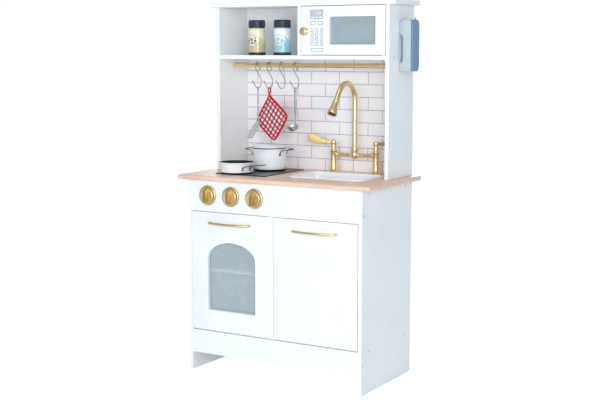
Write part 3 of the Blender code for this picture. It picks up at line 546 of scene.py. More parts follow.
PHONE_BLUE = satin("phone_blue_grey", (0.20, 0.31, 0.47), 0.34, 0.05, 0.03)
# dark edge colour, also used as painted shade between the phone's shell and cover and under the pot's rim
DARK_EDGE_AND_SHADE = satin("dark_edge_and_painted_shade", (0.10, 0.13, 0.18), 0.40, 0.05, 0.03)
LABEL = satin("cream_label", (0.93, 0.92, 0.86), 0.50, 0.02, 0.01)
INK = satin("label_ink", (0.16, 0.15, 0.15), 0.50, 0.10, 0.005)
OUTLET = satin("dark_outlet_rubber", (0.10, 0.07, 0.03), 0.55, 0.2, 0.004)
HOOK_STEEL = brushed("hook_steel", (0.33, 0.33, 0.34), 0.20, (0.0006, 0.0006, 0.010), 0.10)
SCREW = brushed("screw_zinc", (0.52, 0.53, 0.55), 0.30, (0.001, 0.001, 0.001), 0.15)
WORKTOP_WOOD = wood("pale_peach_wood", (0.76, 0.44, 0.32), (0.90, 0.63, 0.50))
WINDOW = pane("oven_window_pane", (0.66, 0.74, 0.79), 0.44)
MICROWAVE_PANE = pane("microwave_window_pane", (0.38, 0.45, 0.48), 0.90)
CHECK = gingham("red_gingham", 0.0142, 0.43)
RED_TAPE = cotton("red_binding", (0.52, 0.006, 0.026))


def coat(obj, *mats):
    """Give a piece its finishes; all faces have the first one."""
    obj.data.materials.clear()
    for mat in mats:
        obj.data.materials.append(mat)
    return obj


def coat_where(obj, index, test):
    """Give a second or third finish to the faces whose middle and normal pass a test."""
    for face in obj.data.polygons:
        if test(face.center, face.normal):
            face.material_index = index
    return obj


# ------------------------------------------------------------------ boards keep their CAD shape
TILE_W, TILE_H = 0.0909, 0.0354
BACK_PRINT = tiles("tile_print", TILE_W, TILE_H, 0.0019, ORIGIN.x - 0.1340 + TILE_W / 2, 0.5853,
                   lowest("upper_shelf").z + 0.004)
for node in ("lower_side_left", "lower_side_right", "upper_side_left", "upper_side_right", "upper_shelf",
             "upper_divider", "control_fascia", "kick_rail", "top_board", "cupboard_door",
             "microwave_door"):
    coat(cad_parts[node], WHITE)
for node in ("cabinet_floor", "lower_back_panel", "oven_shelf", "centre_partition"):
    coat(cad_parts[node], CAVITY_WHITE)
coat_where(coat(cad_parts["upper_back_panel"], BACK_PRINT, BACK_BOARD), 1, lambda p, n: n.y > 0.5)
coat(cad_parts["oven_window"], WINDOW)
coat(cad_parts["microwave_window"], MICROWAVE_PANE)
for door in ("oven", "cupboard", "microwave"):
    for end_name in (("left", "right") if door == "oven" else ("bottom", "top")):
        coat(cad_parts[f"{door}_hinge_pin_{end_name}"], STEEL)


# ------------------------------------------------------------------ worktop, hob and basin
def standing_place(node):
    """Where a pan or a pot stands on the hob."""
    return Vector((middle(node).x, middle(node).y, HOB_Z))


def make_worktop():
    """Board with rounded front corners and edges, cut out under the basin."""
    lo, hi = lowest("worktop"), highest("worktop")
    top = block("worktop_board", lo, hi, 0)
    begin(top)
    pick_edges(top, lambda a, b: abs(a.z - b.z) > 0.005 and a.y < lo.y + 0.001)
    bpy.ops.mesh.bevel(offset=0.010, segments=8, affect='EDGES')
    pick_edges(top, lambda a, b: abs(a.z - b.z) < 1e-6 and not (a.y > hi.y - 1e-5 and b.y > hi.y - 1e-5))
    bpy.ops.mesh.bevel(offset=0.0054, segments=7, affect='EDGES')
    end()
    rim = 0.010
    b_lo, b_hi = lowest("basin"), highest("basin")
    outline = rounded_box(b_lo.x + rim, b_hi.x - rim, b_lo.y + rim, b_hi.y - rim, 0.016)
    hole = plate("basin_hole", [outline], 0.05)
    hole.data.transform(Matrix.Translation((0, 0, hi.z - 0.01)))
    cut(top, hole)
    smooth(top, 30)
    return put(coat(top, WORKTOP_WOOD), "cabinet", "worktop")


def make_hob():
    """Dark plate with a printed ring where the pan and the pot stand."""
    lo, hi = lowest("hob_plate"), highest("hob_plate")
    glass = plate("hob_glass", [rounded_box(lo.x, hi.x, lo.y, hi.y, 0.004)], hi.z - lo.z, 0.0004)
    glass.data.transform(Matrix.Translation((0, 0, (lo.z + hi.z) / 2)))
    put(coat(glass, BLACK_ENAMEL), "cabinet", "hob_plate")
    rings = []
    for node, r in (("pan", 0.055), ("pot", 0.056)):
        at, line = middle(node), 0.0012
        loops = [oval(r, r, 96, at.x, at.y), oval(r - line, r - line, 96, at.x, at.y)]
        ring = plate("ring", loops, 0.00012)
        ring.data.transform(Matrix.Translation((0, 0, hi.z + 0.00005)))
        rings.append(ring)
    rings = join("hob_ring_print", *rings)
    margin = Vector((0.002, 0.002, -0.01))
    keep = block("hob_area", Vector((lo.x, lo.y, hi.z)) + margin, hi - margin, 0)
    cut(rings, keep, 'INTERSECT')
    put(coat(rings, PRINT), "cabinet", slot="hob_plate")


BASIN_RIM_Z = WORKTOP_Z + 0.0003
DRAIN_Z = WORKTOP_Z - 0.0439


def make_basin():
    """Bowl pushed down from its rim in steps of (inset, height), then given its wall."""
    lo, hi = lowest("basin"), highest("basin")
    clear_selection()
    bpy.ops.mesh.primitive_plane_add(size=1, location=((lo.x + hi.x) / 2, (lo.y + hi.y) / 2, BASIN_RIM_Z))
    bowl = named("basin_bowl")
    bowl.scale = (hi.x - lo.x, hi.y - lo.y, 1)
    settle(bowl)
    bpy.ops.object.mode_set(mode='EDIT')
    bpy.ops.mesh.select_all(action='SELECT')
    bpy.ops.mesh.bevel(affect='VERTICES', offset=0.030, segments=10, profile=0.5)
    bpy.ops.mesh.select_all(action='SELECT')
    pull((0, 0, 0.0014))
    steps = ((0.0006, 0.0012), (0.0012, 0.0006), (0.0058, 0.0), (0.0022, -0.0006), (0.0018, -0.0020),
             (0.0010, -0.0200), (0.0010, -0.0185), (0.0016, -0.0030), (0.0030, -0.0022),
             (0.0050, -0.0008))
    for inset, drop in steps:
        bpy.ops.mesh.inset(thickness=inset, depth=0)
        slide((0, 0, drop))
    pick_faces(bowl, lambda p, n: abs(n.z) > 0.9 and abs(p.z - BASIN_RIM_Z) < 0.00001)
    bpy.ops.mesh.delete(type='FACE')
    bpy.ops.mesh.select_all(action='SELECT')
    bpy.ops.mesh.normals_make_consistent(inside=False)
    end()
    floor_face = min(bowl.data.polygons, key=lambda face: face.center.z)
    if floor_face.normal.z < 0:
        bowl.data.flip_normals()
    shell = bowl.modifiers.new("wall", 'SOLIDIFY')
    shell.thickness = 0.0016
    shell.offset = -1.0
    use_modifiers(bowl)
    smooth(bowl, 50)
    put(coat(bowl, CERAMIC), "basin", "basin")


def make_drain():
    """Bright ring in the basin's floor with six black dots as painted shade in its holes."""
    c = middle("basin")
    drain = turned("basin_drain", [(0, 0.0004), (0.0045, 0.0004), (0.0050, 0.0012), (0.0100, 0.0018),
                                   (0.0118, 0.0012), (0.0122, 0.0),
                                   (0, 0.0)], (c.x, c.y, DRAIN_Z + 0.0005), steps=48)
    put(coat(drain, STEEL), "basin", slot="basin")
    strainer = []
    for k in range(6):
        a = k * pi / 3
        dot = turned("hole", [(0, 0.0006), (0.0006, 0.0006), (0.0007, 0.0003), (0, 0.0003)],
                     (c.x + 0.0030 * cos(a), c.y + 0.0030 * sin(a), DRAIN_Z + 0.0008), steps=12)
        strainer.append(dot)
    put(coat(join("drain_hole_painted_shade", *strainer), BLACK_SHADE), "basin", slot="basin")


# ------------------------------------------------------------------ oven, doors and handles
OVEN_ARCH = (-0.1300, 0.0780, 0.1775, 0.3215, 0.3700)  # middle x, half width, foot, springing and crown


def make_oven_door():
    """Door cut through for its arched window, with a thin gasket round the pane."""
    lo, hi = lowest("oven_door"), highest("oven_door")
    door = block("oven_door_panel", lo, hi, 0.0012, 3)
    opening = stand_up(plate("opening", [arch_loop(*OVEN_ARCH)], 0.05), (0, FRONT_Y, 0))
    cut(door, opening)
    smooth(door, 30)
    put(coat(door, WHITE), "oven_door", "oven_door")
    cx, half, low, spring, top = OVEN_ARCH
    outer = arch_loop(cx, half - 0.0002, low + 0.0002, spring, top - 0.0002)
    inner = arch_loop(cx, half - 0.0020, low + 0.0020, spring, top - 0.0018)
    gasket = stand_up(plate("oven_window_gasket", [outer, inner], 0.0016, 0.0004, 2),
                      (0, FRONT_Y + 0.0096, 0))
    put(coat(gasket, PHONE_GREY), "oven_door", slot="oven_window")


def make_handle(node, body):
    """Slim bowed bar with a round foot at each end."""
    cx, cz = middle(node).x, middle(node).z
    half, face, reach, shoulder = 0.0640, highest(node).y, 0.0200, 0.0108
    points, widths = [], []
    for x, y, w in ((-half, 0, 1.15), (-half, 0.0035, 1.05), (-half + 0.0006, 0.0070, 1.0),
                    (-half + 0.0030, 0.0098, 1.0)):
        points.append(Vector((cx + x, face - y, cz)))
        widths.append(w)
    for k in range(1, 12):
        s = k / 12
        points.append(Vector((cx - half + 0.005 + s * 2 * (half - 0.005),
                              face - shoulder - (reach - shoulder) * sin(pi * s) ** 0.8, cz)))
        widths.append(1.0)
    points += [Vector((2 * cx - p.x, p.y, p.z)) for p in reversed(points[:4])]
    widths += list(reversed(widths[:4]))
    bar = tube("bar", points, 0.0036, sides=6, finer=6, taper=widths)
    feet = [turned("foot", [(0, 0.0014), (0.0038, 0.0014), (0.0044, 0.0008), (0.0045, 0.0002),
                            (0, 0.0002)],
                   (cx + s * half, face, cz), (pi / 2, 0, 0), 32) for s in (-1, 1)]
    return put(coat(join(node.replace("_handle", "_bow_handle"), bar, *feet), GOLD_ALONG), body, node)


PRINT_Y = UPPER_FRONT_Y - 0.00006
KEY_X = (0.0409, 0.0555, 0.0703)
KEY_Z = (0.9472, 0.9347, 0.9222, 0.9098)
DISPLAY = (0.0347, 0.0748, 0.9759, 1.0011)
SCREEN = (0.0362, 0.0733, 0.9774, 0.9996)


def printed(name, loops, thick, lift=0.0):
    """Flat print on the front of the microwave door."""
    return stand_up(plate(name, loops, thick), (0, PRINT_Y + lift, 0))


def printed_frame(x0, x1, z0, z1, line, r):
    """Outline of a key, line wide, with rounded corners."""
    loops = [rounded_box(x0, x1, z0, z1, r, 4),
             rounded_box(x0 + line, x1 - line, z0 + line, z1 - line, max(r - line, 0.0003), 4)]
    return printed("frame", loops, 0.00012)


def letters(body, x, z, size):
    """Digits or signs printed on the microwave door, centred on a point."""
    clear_selection()
    bpy.ops.object.text_add(location=(x, PRINT_Y, z), rotation=(pi / 2, 0, 0))
    text = bpy.context.active_object
    text.data.body = body
    text.data.size = size
    text.data.extrude = 0.00006
    text.data.align_x = 'CENTER'
    text.data.align_y = 'CENTER'
    bpy.ops.object.convert(target='MESH')
    return settle(named("digit"))


def make_microwave_knob():
    """Small round knob on a stem."""
    at = middle("microwave_knob")
    knob = turned("microwave_knob_turned", [
        (0, 0.0168), (0.0030, 0.0168), (0.0034, 0.0164), (0.0062, 0.0164), (0.0084, 0.0158),
        (0.0100, 0.0146), (0.0108, 0.0130), (0.0108, 0.0115), (0.0100, 0.0094), (0.0080, 0.0078),
        (0.0062, 0.0064), (0.0056, 0.0046), (0.0057, 0.0024), (0.0070, 0.0016), (0.0082, 0.0010),
        (0.0084, 0.0003), (0, 0.0003)],
        (at.x, UPPER_FRONT_Y, at.z), (pi / 2, 0, 0), 56)
    put(coat(knob, GOLD_SATIN), "microwave_door", "microwave_knob")


def make_microwave_trim():
    """Thin dark frame round the window pane."""
    lo, hi = lowest("microwave_window"), highest("microwave_window")
    gap, line = 0.0004, 0.0018
    loops = [rounded_box(lo.x + inset, hi.x - inset, lo.z + inset, hi.z - inset, r, 3)
             for inset, r in ((gap, 0.0010), (line, 0.0006))]
    trim = stand_up(plate("microwave_window_trim", loops, 0.0008, 0.0002, 2), (0, lo.y - 0.0005, 0))
    put(coat(trim, DARK_EDGE_AND_SHADE), "microwave_door", slot="microwave_window")


def make_keypad():
    """Printed outlines of the display, two long keys, twelve number keys and the start bar."""
    frames = [printed_frame(*DISPLAY, 0.0011, 0.0016)]
    for x0, x1 in ((0.0357, 0.0515), (0.0590, 0.0749)):
        frames.append(printed_frame(x0, x1, 0.9603, 0.9705, 0.0017, 0.0016))
    half_w, half_h = 0.0047, 0.0051
    for z in KEY_Z:
        for x in KEY_X:
            frames.append(printed_frame(x - half_w, x + half_w, z - half_h, z + half_h, 0.0015, 0.0018))
    frames.append(printed_frame(0.0370, 0.0753, 0.8895, 0.8982, 0.0016, 0.0020))
    put(coat(join("keypad_outlines", *frames), PRINT), "microwave_door", slot="microwave_door")
    digits = [letters(d, KEY_X[k % 3], KEY_Z[k // 3], 0.0068) for k, d in enumerate("123456789*0#")]
    put(coat(join("keypad_digits", *digits), PRINT), "microwave_door", slot="microwave_door")


def make_display():
    """Grey screen with the hour and three short bars on it."""
    panel = printed("display_panel", [rounded_box(*SCREEN, 0.0010, 4)], 0.00008, 0.00001)
    put(coat(panel, PRINT_LIGHT), "microwave_door", slot="microwave_door")
    clock = letters("12:00", 0.0547, 0.9918, 0.0125)
    clock.data.transform(Matrix.Translation((0, -0.00006, 0)))
    put(coat(clock, WHITE), "microwave_door", slot="microwave_door")
    bars = [printed("bar", [rounded_box(x, x + 0.0095, 0.9792, 0.9822, 0.0006, 3)], 0.0001, -0.00006)
            for x in (0.0375, 0.0500, 0.0625)]
    put(coat(join("display_bars", *bars), WHITE), "microwave_door", slot="microwave_door")


# ------------------------------------------------------------------ burner knobs
def make_burner_knob(node, lean):
    """Stepped round dial with a long grip across it, turned by lean."""
    cx, cz = middle(node).x, middle(node).z
    dial = turned("dial", [
        (0, 0.0098), (0.0150, 0.0098), (0.0168, 0.0101), (0.0186, 0.0105), (0.0206, 0.0105),
        (0.0222, 0.0097), (0.0230, 0.0080), (0.0233, 0.0050), (0.0238, 0.0042), (0.0258, 0.0038),
        (0.0270, 0.0028), (0.0274, 0.0014), (0.0272, 0.0003), (0.0040, 0.0003), (0.0040, -0.0080),
        (0.0034, -0.0086), (0, -0.0086)],
        (cx, FRONT_Y, cz), (pi / 2, 0, 0), 72)
    coat(dial, GOLD_SATIN, GOLD_SHADE)
    # painted shade: the dial's side wall and stem take the darker gold
    coat_where(dial, 1, lambda c, n: n.y > -0.55 and c.y > FRONT_Y - 0.0092)
    grip = plate("grip", [[(0.0046, -0.0140), (0.0056, -0.0060), (0.0056, 0.0060), (0.0046, 0.0140),
                           (0.0022, 0.0182), (0.0, 0.0196), (-0.0022, 0.0182), (-0.0046, 0.0140),
                           (-0.0056, 0.0060), (-0.0056, -0.0060), (-0.0046, -0.0140), (-0.0022, -0.0182),
                           (0.0, -0.0196), (0.0022, -0.0182)]], 0.0104, 0.0012, 3)
    for v in grip.data.vertices:
        if v.co.z > 0:
            v.co.x *= 0.62
            v.co.y *= 0.94
    grip.data.transform(Matrix.Translation((cx, FRONT_Y - 0.0148, cz)) @ Matrix.Rotation(pi / 2, 4, 'X')
                        @ Matrix.Rotation(lean, 4, 'Z'))
    # painted shade: the whole grip takes the darker gold
    coat(grip, GOLD_SHADE)
    return put(join(node + "_dial", dial, grip), node, node)


# ------------------------------------------------------------------ faucet
FAUCET_LEFT, FAUCET_RIGHT = middle("faucet_column_left"), middle("faucet_column_right")
FAUCET_X, FAUCET_Y = (FAUCET_LEFT.x + FAUCET_RIGHT.x) / 2, FAUCET_LEFT.y
BRIDGE_Z = 0.6028
COLLAR_Z = BRIDGE_Z + 0.0148
PIPE_R = 0.0072
HEAD_RUN = Vector((0, -0.575, -0.818)).normalized()


def make_faucet_columns():
    """Turned columns, with painted shade in darker gold at the foot and in the groove."""
    column = [(0, 0.0795), (0.0060, 0.0795), (0.0066, 0.0790), (0.0066, 0.0646), (0.0074, 0.0640),
              (0.0090, 0.0634), (0.0098, 0.0622), (0.0098, 0.0600), (0.0088, 0.0588), (0.0083, 0.0576),
              (0.0082, 0.0400), (0.0083, 0.0120), (0.0088, 0.0092), (0.0100, 0.0066), (0.0130, 0.0044),
              (0.0160, 0.0036), (0.0178, 0.0030), (0.0185, 0.0020), (0.0186, 0.0003), (0, 0.0003)]
    for side in ("left", "right"):
        c = middle("faucet_column_" + side)
        piece = turned("turned_column_" + side, column, (c.x, c.y, WORKTOP_Z), steps=64)
        coat(piece, GOLD, GOLD_SHADE)
        groove_z = WORKTOP_Z + 0.0594
        # painted shade: darker gold on the foot and in the groove
        coat_where(piece, 1, lambda p, n: p.z < WORKTOP_Z + 0.0022 or abs(p.z - groove_z) < 0.0008)
        put(piece, "cabinet", "faucet_column_" + side)


def make_faucet_bridge():
    """Hub with a moulded arm to each column."""
    hub = turned("hub", [(0.0051, 0.0145), (0.0084, 0.0145), (0.0094, 0.0140), (0.0097, 0.0130),
                         (0.0096, 0.0112), (0.0088, 0.0100), (0.0084, 0.0085), (0.0090, 0.0050),
                         (0.0092, 0.0), (0.0088, -0.0046), (0.0074, -0.0080), (0.0054, -0.0094),
                         (0.0048, -0.0102), (0.0026, -0.0110), (0, -0.0112), (0, 0.0020),
                         (0.0051, 0.0020), (0.0051, 0.0145)], (FAUCET_X, FAUCET_Y, BRIDGE_Z), steps=64)
    half = (FAUCET_RIGHT.x - FAUCET_LEFT.x) / 2
    arms = []
    for s in (-1, 1):
        arm = turned("arm", [(0, 0.0086), (0.0053, 0.0086), (0.0062, 0.0100), (0.0064, 0.0112),
                             (0.0054, 0.0124), (0.0050, 0.0140), (0.0050, half - 0.0130),
                             (0.0054, half - 0.0116), (0.0064, half - 0.0104), (0.0064, half - 0.0092),
                             (0.0056, half - 0.0080), (0, half - 0.0080)],
                     (FAUCET_X, FAUCET_Y, BRIDGE_Z), (0, s * pi / 2, 0), 48)
        arms.append(arm)
    put(coat(join("bridge_and_hub", hub, *arms), GOLD), "cabinet", "faucet_bridge")


def make_faucet_lever(side):
    """Cap on the column with a flat paddle and a small ball end behind it."""
    c = middle("faucet_column_" + side)
    base = Vector((c.x, c.y, WORKTOP_Z + 0.0797))
    azimuth = radians(180 + 18) if side == "left" else radians(-18)
    cap = turned("cap", [(0, 0.0116), (0.0040, 0.0114), (0.0062, 0.0106), (0.0074, 0.0092),
                         (0.0078, 0.0076), (0.0078, 0.0026), (0.0074, 0.0010), (0.0068, 0.0003),
                         (0, 0.0003)], base, steps=48)
    outline = [(0.003, 0.0014), (0.016, 0.0010), (0.034, 0.0004), (0.050, 0.0004), (0.0590, 0.0014),
               (0.0660, 0.0046), (0.0712, 0.0092), (0.0742, 0.0150), (0.0748, 0.0205), (0.0730, 0.0252),
               (0.0690, 0.0280), (0.0640, 0.0286), (0.0580, 0.0270), (0.0500, 0.0228), (0.0420, 0.0182),
               (0.0330, 0.0142), (0.0240, 0.0113), (0.0160, 0.0096), (0.0100, 0.0088), (0.003, 0.0084)]
    blade = plate("blade", [smooth_loop(outline)], 0.0036, 0.0012, 3)
    stand_up(blade).data.transform(Matrix.Translation(base) @ Matrix.Rotation(azimuth, 4, 'Z'))
    ball = turned("ball", [(0, 0.0125), (0.0016, 0.0121), (0.0027, 0.0108), (0.0029, 0.0094),
                           (0.0024, 0.0080), (0.0015, 0.0070), (0.0016, 0.0060), (0, 0.0)],
                  base + Vector((0, 0, 0.0058)), (0, pi / 2, azimuth + pi), 32)
    coat(cap, GOLD)
    coat(blade, GOLD_PADDLE)
    coat(ball, CERAMIC)
    put(join("lever_paddle_" + side, cap, blade, ball), "faucet_lever_" + side, "faucet_lever_" + side)


def make_spout():
    """Pipe that rises, bends over and runs down to the spray head; gives the head's place."""
    reach, rise, r = 0.0490, 0.0475, PIPE_R
    bend = Vector((FAUCET_X, FAUCET_Y - reach, 0.7560))
    points = [Vector((FAUCET_X, FAUCET_Y, z)) for z in (COLLAR_Z + 0.001, 0.66, 0.70, 0.735, bend.z)]
    points += [Vector((FAUCET_X, bend.y + reach * cos(radians(a)), bend.z + rise * sin(radians(a))))
               for a in (15, 30, 45, 60, 75, 90, 105, 120, 132, 142.8)]
    head_at = points[-1] + HEAD_RUN * 0.0330
    points += [points[-1] + HEAD_RUN * 0.0120, head_at + HEAD_RUN * 0.001]
    pipe = tube("pipe", points, r, sides=10, finer=6)
    foot = turned("foot", [(0, 0.0100), (r + 0.0002, 0.0100), (r + 0.0008, 0.0090), (r + 0.0012, 0.0072),
                           (r + 0.0018, 0.0050), (r + 0.0020, 0.0012), (r + 0.0014, 0.0), (0.0050, 0.0),
                           (0.0050, -0.0115), (0, -0.0120)],
                  (FAUCET_X, FAUCET_Y, COLLAR_Z), steps=48)
    put(coat(join("gooseneck_pipe", pipe, foot), GOLD), "faucet_spout", "faucet_spout")
    return head_at


def make_spray_head(head_at):
    """Flared head with a dark outlet and two rings of nozzles."""
    run = HEAD_RUN
    tilt = (-acos(-run.z), 0, 0)
    head = turned("spray_head_turned", [
        (0, -0.0004), (0.0080, -0.0004), (0.0088, -0.0008), (0.0091, -0.0018), (0.0091, -0.0034),
        (0.0085, -0.0042), (0.0083, -0.0050), (0.0086, -0.0090), (0.0096, -0.0160), (0.0110, -0.0240),
        (0.0125, -0.0320), (0.0132, -0.0360), (0.0134, -0.0385), (0.0134, -0.0412), (0.0128, -0.0424),
        (0.0118, -0.0428), (0.0110, -0.0424), (0.0107, -0.0412), (0, -0.0412)], head_at, tilt, 64)
    coat(head, GOLD, OUTLET)

    def outlet(p, n):
        along = (p - head_at).dot(run)
        return n.dot(run) > 0.9 and along > 0.040 and (p - head_at - run * along).length < 0.0107

    coat_where(head, 1, outlet)
    put(head, "faucet_spout", "faucet_spray_head")
    nozzles = []
    side_a = run.cross(Vector((1, 0, 0))).normalized()
    for ring, count in ((0.0034, 6), (0.0070, 11)):
        for k in range(count):
            a = 2 * pi * k / count
            spot = head_at + run * 0.0412 + Vector((1, 0, 0)) * ring * cos(a) + side_a * ring * sin(a)
            nozzles.append(turned("nozzle", [(0, -0.0011), (0.0004, -0.0011), (0.0007, -0.0002),
                                             (0.0008, 0.0002), (0, 0.0002)], spot, tilt, 10))
    put(coat(join("spray_nozzles", *nozzles), OUTLET), "faucet_spout", slot="faucet_spray_head")


def smooth_loop(points, per=3):
    """Closed Catmull-Rom line through an outline's points."""
    out = []
    n = len(points)
    for i in range(n):
        p0, p1, p2, p3 = (Vector(points[(i + k) % n]) for k in (-1, 0, 1, 2))
        for k in range(per):
            t = k / per
            p = 0.5 * (2 * p1 + (p2 - p0) * t + (2 * p0 - 5 * p1 + 4 * p2 - p3) * t * t
                       + (3 * p1 - p0 - 3 * p2 + p3) * t ** 3)
            out.append((p.x, p.y))
    return out


# ------------------------------------------------------------------ rail, hooks and utensils
def make_rail():
    """Round bar with chamfered ends."""
    lo, hi = lowest("towel_rail"), highest("towel_rail")
    half, r = (hi.x - lo.x) / 2, (hi.z - lo.z) / 2
    inner = half - 0.0045
    rail = turned("rail_tube", [(0, half), (r - 0.0004, half), (r, half - 0.0004), (r, inner - 0.0002),
                                (r, -inner + 0.0002), (r, -half + 0.0004), (r - 0.0004, -half),
                                (0, -half)],
                  (0, RAIL.y, RAIL.z), (0, pi / 2, 0), 64)
    put(coat(rail, GOLD_ALONG), "cabinet", "towel_rail")


def make_hook(number):
    """Wire bent over the rail, down and up again to a straight tip."""
    x = HOOK_X[number - 1]
    r1, r2, drop, aft = 0.0125, 0.0178, 0.0440, 0.0010
    top = Vector((x, RAIL.y, HANG.z + drop + r2))
    lean = acos((r1 + r2) / sqrt(drop ** 2 + aft ** 2))
    points = []
    first, last = radians(-62), radians(270) - lean
    for k in range(19):
        a = first + (last - first) * k / 18
        points.append(top + Vector((0, r1 * cos(a), r1 * sin(a))))
    first, last = pi / 2 - lean, radians(-135)
    for k in range(15):
        a = first + (last - first) * k / 14
        points.append(top + Vector((0, aft + r2 * cos(a), -drop + r2 * sin(a))))
    tip = points[-1]
    points += [tip + Vector((0, -1, 1)).normalized() * d for d in (0.008, 0.0165, 0.0248)]
    wire = tube("hook", points, 0.0011, sides=4, finer=3)
    bead = turned("bead", [(0, 0.0009), (0.0006, 0.0008), (0.0011, 0.0), (0.0011, -0.0004), (0, -0.0004)],
                  points[-1], (radians(45), 0, 0), 16)
    return put(coat(join(f"bent_hook_{number}", wire, bead), HOOK_STEEL), f"s_hook_{number}",
               f"s_hook_{number}")


EYE_R = 0.0024
EYE_Z = HANG.z - EYE_R + 0.0011 + 0.0003


def handle_outline(top, mid, low, length, narrow):
    """Utensil handle: round top, wide part down to narrow, thin part down to length."""
    head = [(top * sin(radians(d)), top * cos(radians(d))) for d in range(-90, 91, 10)]
    side = [(mid, -0.006), (mid, -narrow), ((mid + low) / 2, -narrow - 0.006), (low, -narrow - 0.012),
            (low, -length)]
    return head + side + [(-x, y) for x, y in reversed(side)]


def make_spatula():
    """Slim handle with a slotted blade bent back and turned a little."""
    x = HOOK_X[0]
    loops = [handle_outline(0.0046, 0.0021, 0.0021, 0.0980, 0.0840), oval(EYE_R, EYE_R, 28)]
    stem = stand_up(plate("stem", loops, 0.0016, 0.0005, 2), (x, HANG.y, EYE_Z))
    half_loop = [(0.0030, 0.0040), (0.0062, 0.0020), (0.0105, -0.0030), (0.0140, -0.0100),
                 (0.0150, -0.0170), (0.0150, -0.0550), (0.0144, -0.0574), (0.0125, -0.0582)]
    loop = half_loop + [(-bx, by) for bx, by in reversed(half_loop)]
    slots = [rounded_box(slot_x - 0.0014, slot_x + 0.0014, -0.0480, -0.0180, 0.0013, 4)
             for slot_x in (-0.0088, 0.0, 0.0088)]
    blade = plate("blade", [loop] + slots, 0.0012, 0.0004, 2)
    blade.data.transform(Matrix.Diagonal((0.84, 1.0, 1.0, 1.0)))
    bent = Matrix.Rotation(radians(-14), 4, 'Z') @ Matrix.Rotation(radians(-38), 4, 'X')
    stand_up(blade).data.transform(Matrix.Translation((x, HANG.y, EYE_Z - 0.0950)) @ bent)
    return put(coat(join("slotted_spatula", stem, blade), STEEL), "spatula", "spatula")


def make_ladle():
    """Ribbed handle with a round bowl in front of its foot."""
    x = HOOK_X[3]
    loops = [handle_outline(0.0050, 0.0046, 0.0019, 0.1040, 0.0620), oval(EYE_R, EYE_R, 28)]
    stem = stand_up(plate("stem", loops, 0.0014, 0.0005, 2), (x, HANG.y, EYE_Z))
    rib = block("rib", (x - 0.0012, HANG.y - 0.0013, EYE_Z - 0.0620),
                (x + 0.0012, HANG.y - 0.0004, EYE_Z - 0.0080), 0.0004)
    outer, inner = 0.0180, 0.0168
    angles = range(9, 90, 9)
    inside, outside = ([(r * cos(radians(a)), -r * sin(radians(a))) for a in angles] for r in (inner,
                                                                                               outer))
    lip = [(inner, 0.0), (inner + 0.0004, 0.0005), (outer + 0.0001, 0.0004), (outer + 0.0002, -0.0003)]
    profile = [(0, -inner)] + inside[::-1] + lip + outside + [(0, -outer)]
    bowl = turned("bowl", profile, (x, HANG.y - 0.0170, EYE_Z - 0.1000), steps=56)
    return put(coat(join("soup_ladle", stem, rib, bowl), STEEL), "ladle", "ladle")


# ------------------------------------------------------------------ pan and pot
def around(at, angle, r, side, z):
    """Point r out from a vessel's middle in one direction, moved sideways and up."""
    return Vector((at.x + r * cos(angle) - side * sin(angle), at.y + r * sin(angle) + side * cos(angle),
                   at.z + z))


def make_pan():
    """White outside, black inside, with a long wire handle."""
    at = standing_place("pan")
    low, top, h, wall = 0.0455, 0.0495, 0.0310, 0.0014
    pan = turned("enamel_pan", [
        (0, 0.0020), (low - 0.0060, 0.0020), (low - 0.0034, 0.0025), (low - wall, 0.0046),
        (top - wall - 0.0010, h - 0.0024), (top - 0.0006, h - 0.0004), (top + 0.0004, h),
        (top + 0.0012, h - 0.0005), (top + 0.0012, h - 0.0014), (top + 0.0004, h - 0.0022),
        (top - 0.0006, h - 0.0036), (low + 0.0010, 0.0090), (low, 0.0044), (low - 0.0001, 0.0036),
        (low - 0.0006, 0.0020), (low - 0.0014, 0.0008), (low - 0.0030, 0.0), (0, 0.0)], at, steps=80)
    coat(pan, ENAMEL, BLACK_ENAMEL, BLACK_SHADE)

    def inside(p, n):
        outward = Vector((p.x - at.x, p.y - at.y, 0))
        wall_side = n.dot(outward) < 0 and at.z + 0.002 < p.z < at.z + h - 0.0012
        return wall_side or (n.z > 0.7 and p.z < at.z + 0.006)

    coat_where(pan, 1, inside)
    # painted shade: the lowest band and underside of the pan in black
    coat_where(pan, 2, lambda p, n: p.z < at.z + 0.0040 and n.z < 0.5)
    put(pan, "pan", "pan")
    direction = radians(-24)
    half = [(0.0497, 0.0125, 0.0160), (0.0520, 0.0125, 0.0172), (0.0555, 0.0122, 0.0196),
            (0.0610, 0.0110, 0.0212), (0.0700, 0.0085, 0.0232), (0.0800, 0.0068, 0.0250),
            (0.0920, 0.0060, 0.0265), (0.1060, 0.0059, 0.0282), (0.1200, 0.0058, 0.0300),
            (0.1300, 0.0054, 0.0312), (0.1355, 0.0042, 0.0320), (0.1384, 0.0020, 0.0324)]
    line = half + [(r, -s, z) for r, s, z in reversed(half)]
    wire = tube("loop", [around(at, direction, *p) for p in line], 0.0013, finer=4)
    tabs = []
    for s in (-1, 1):
        foot = around(at, direction, 0.0476, s * 0.0125, 0.0135)
        tab = block("tab", (-0.0009, -0.0022, -0.0045), (0.0009, 0.0022, 0.0045), 0.0005, 2)
        turn = Matrix.Rotation(direction + s * radians(15), 4, 'Z')
        tab.data.transform(Matrix.Translation(foot) @ turn)
        tabs.append(tab)
    put(coat(join("pan_wire_loop", wire, *tabs), DARK_STEEL), "pan", "pan_handle")


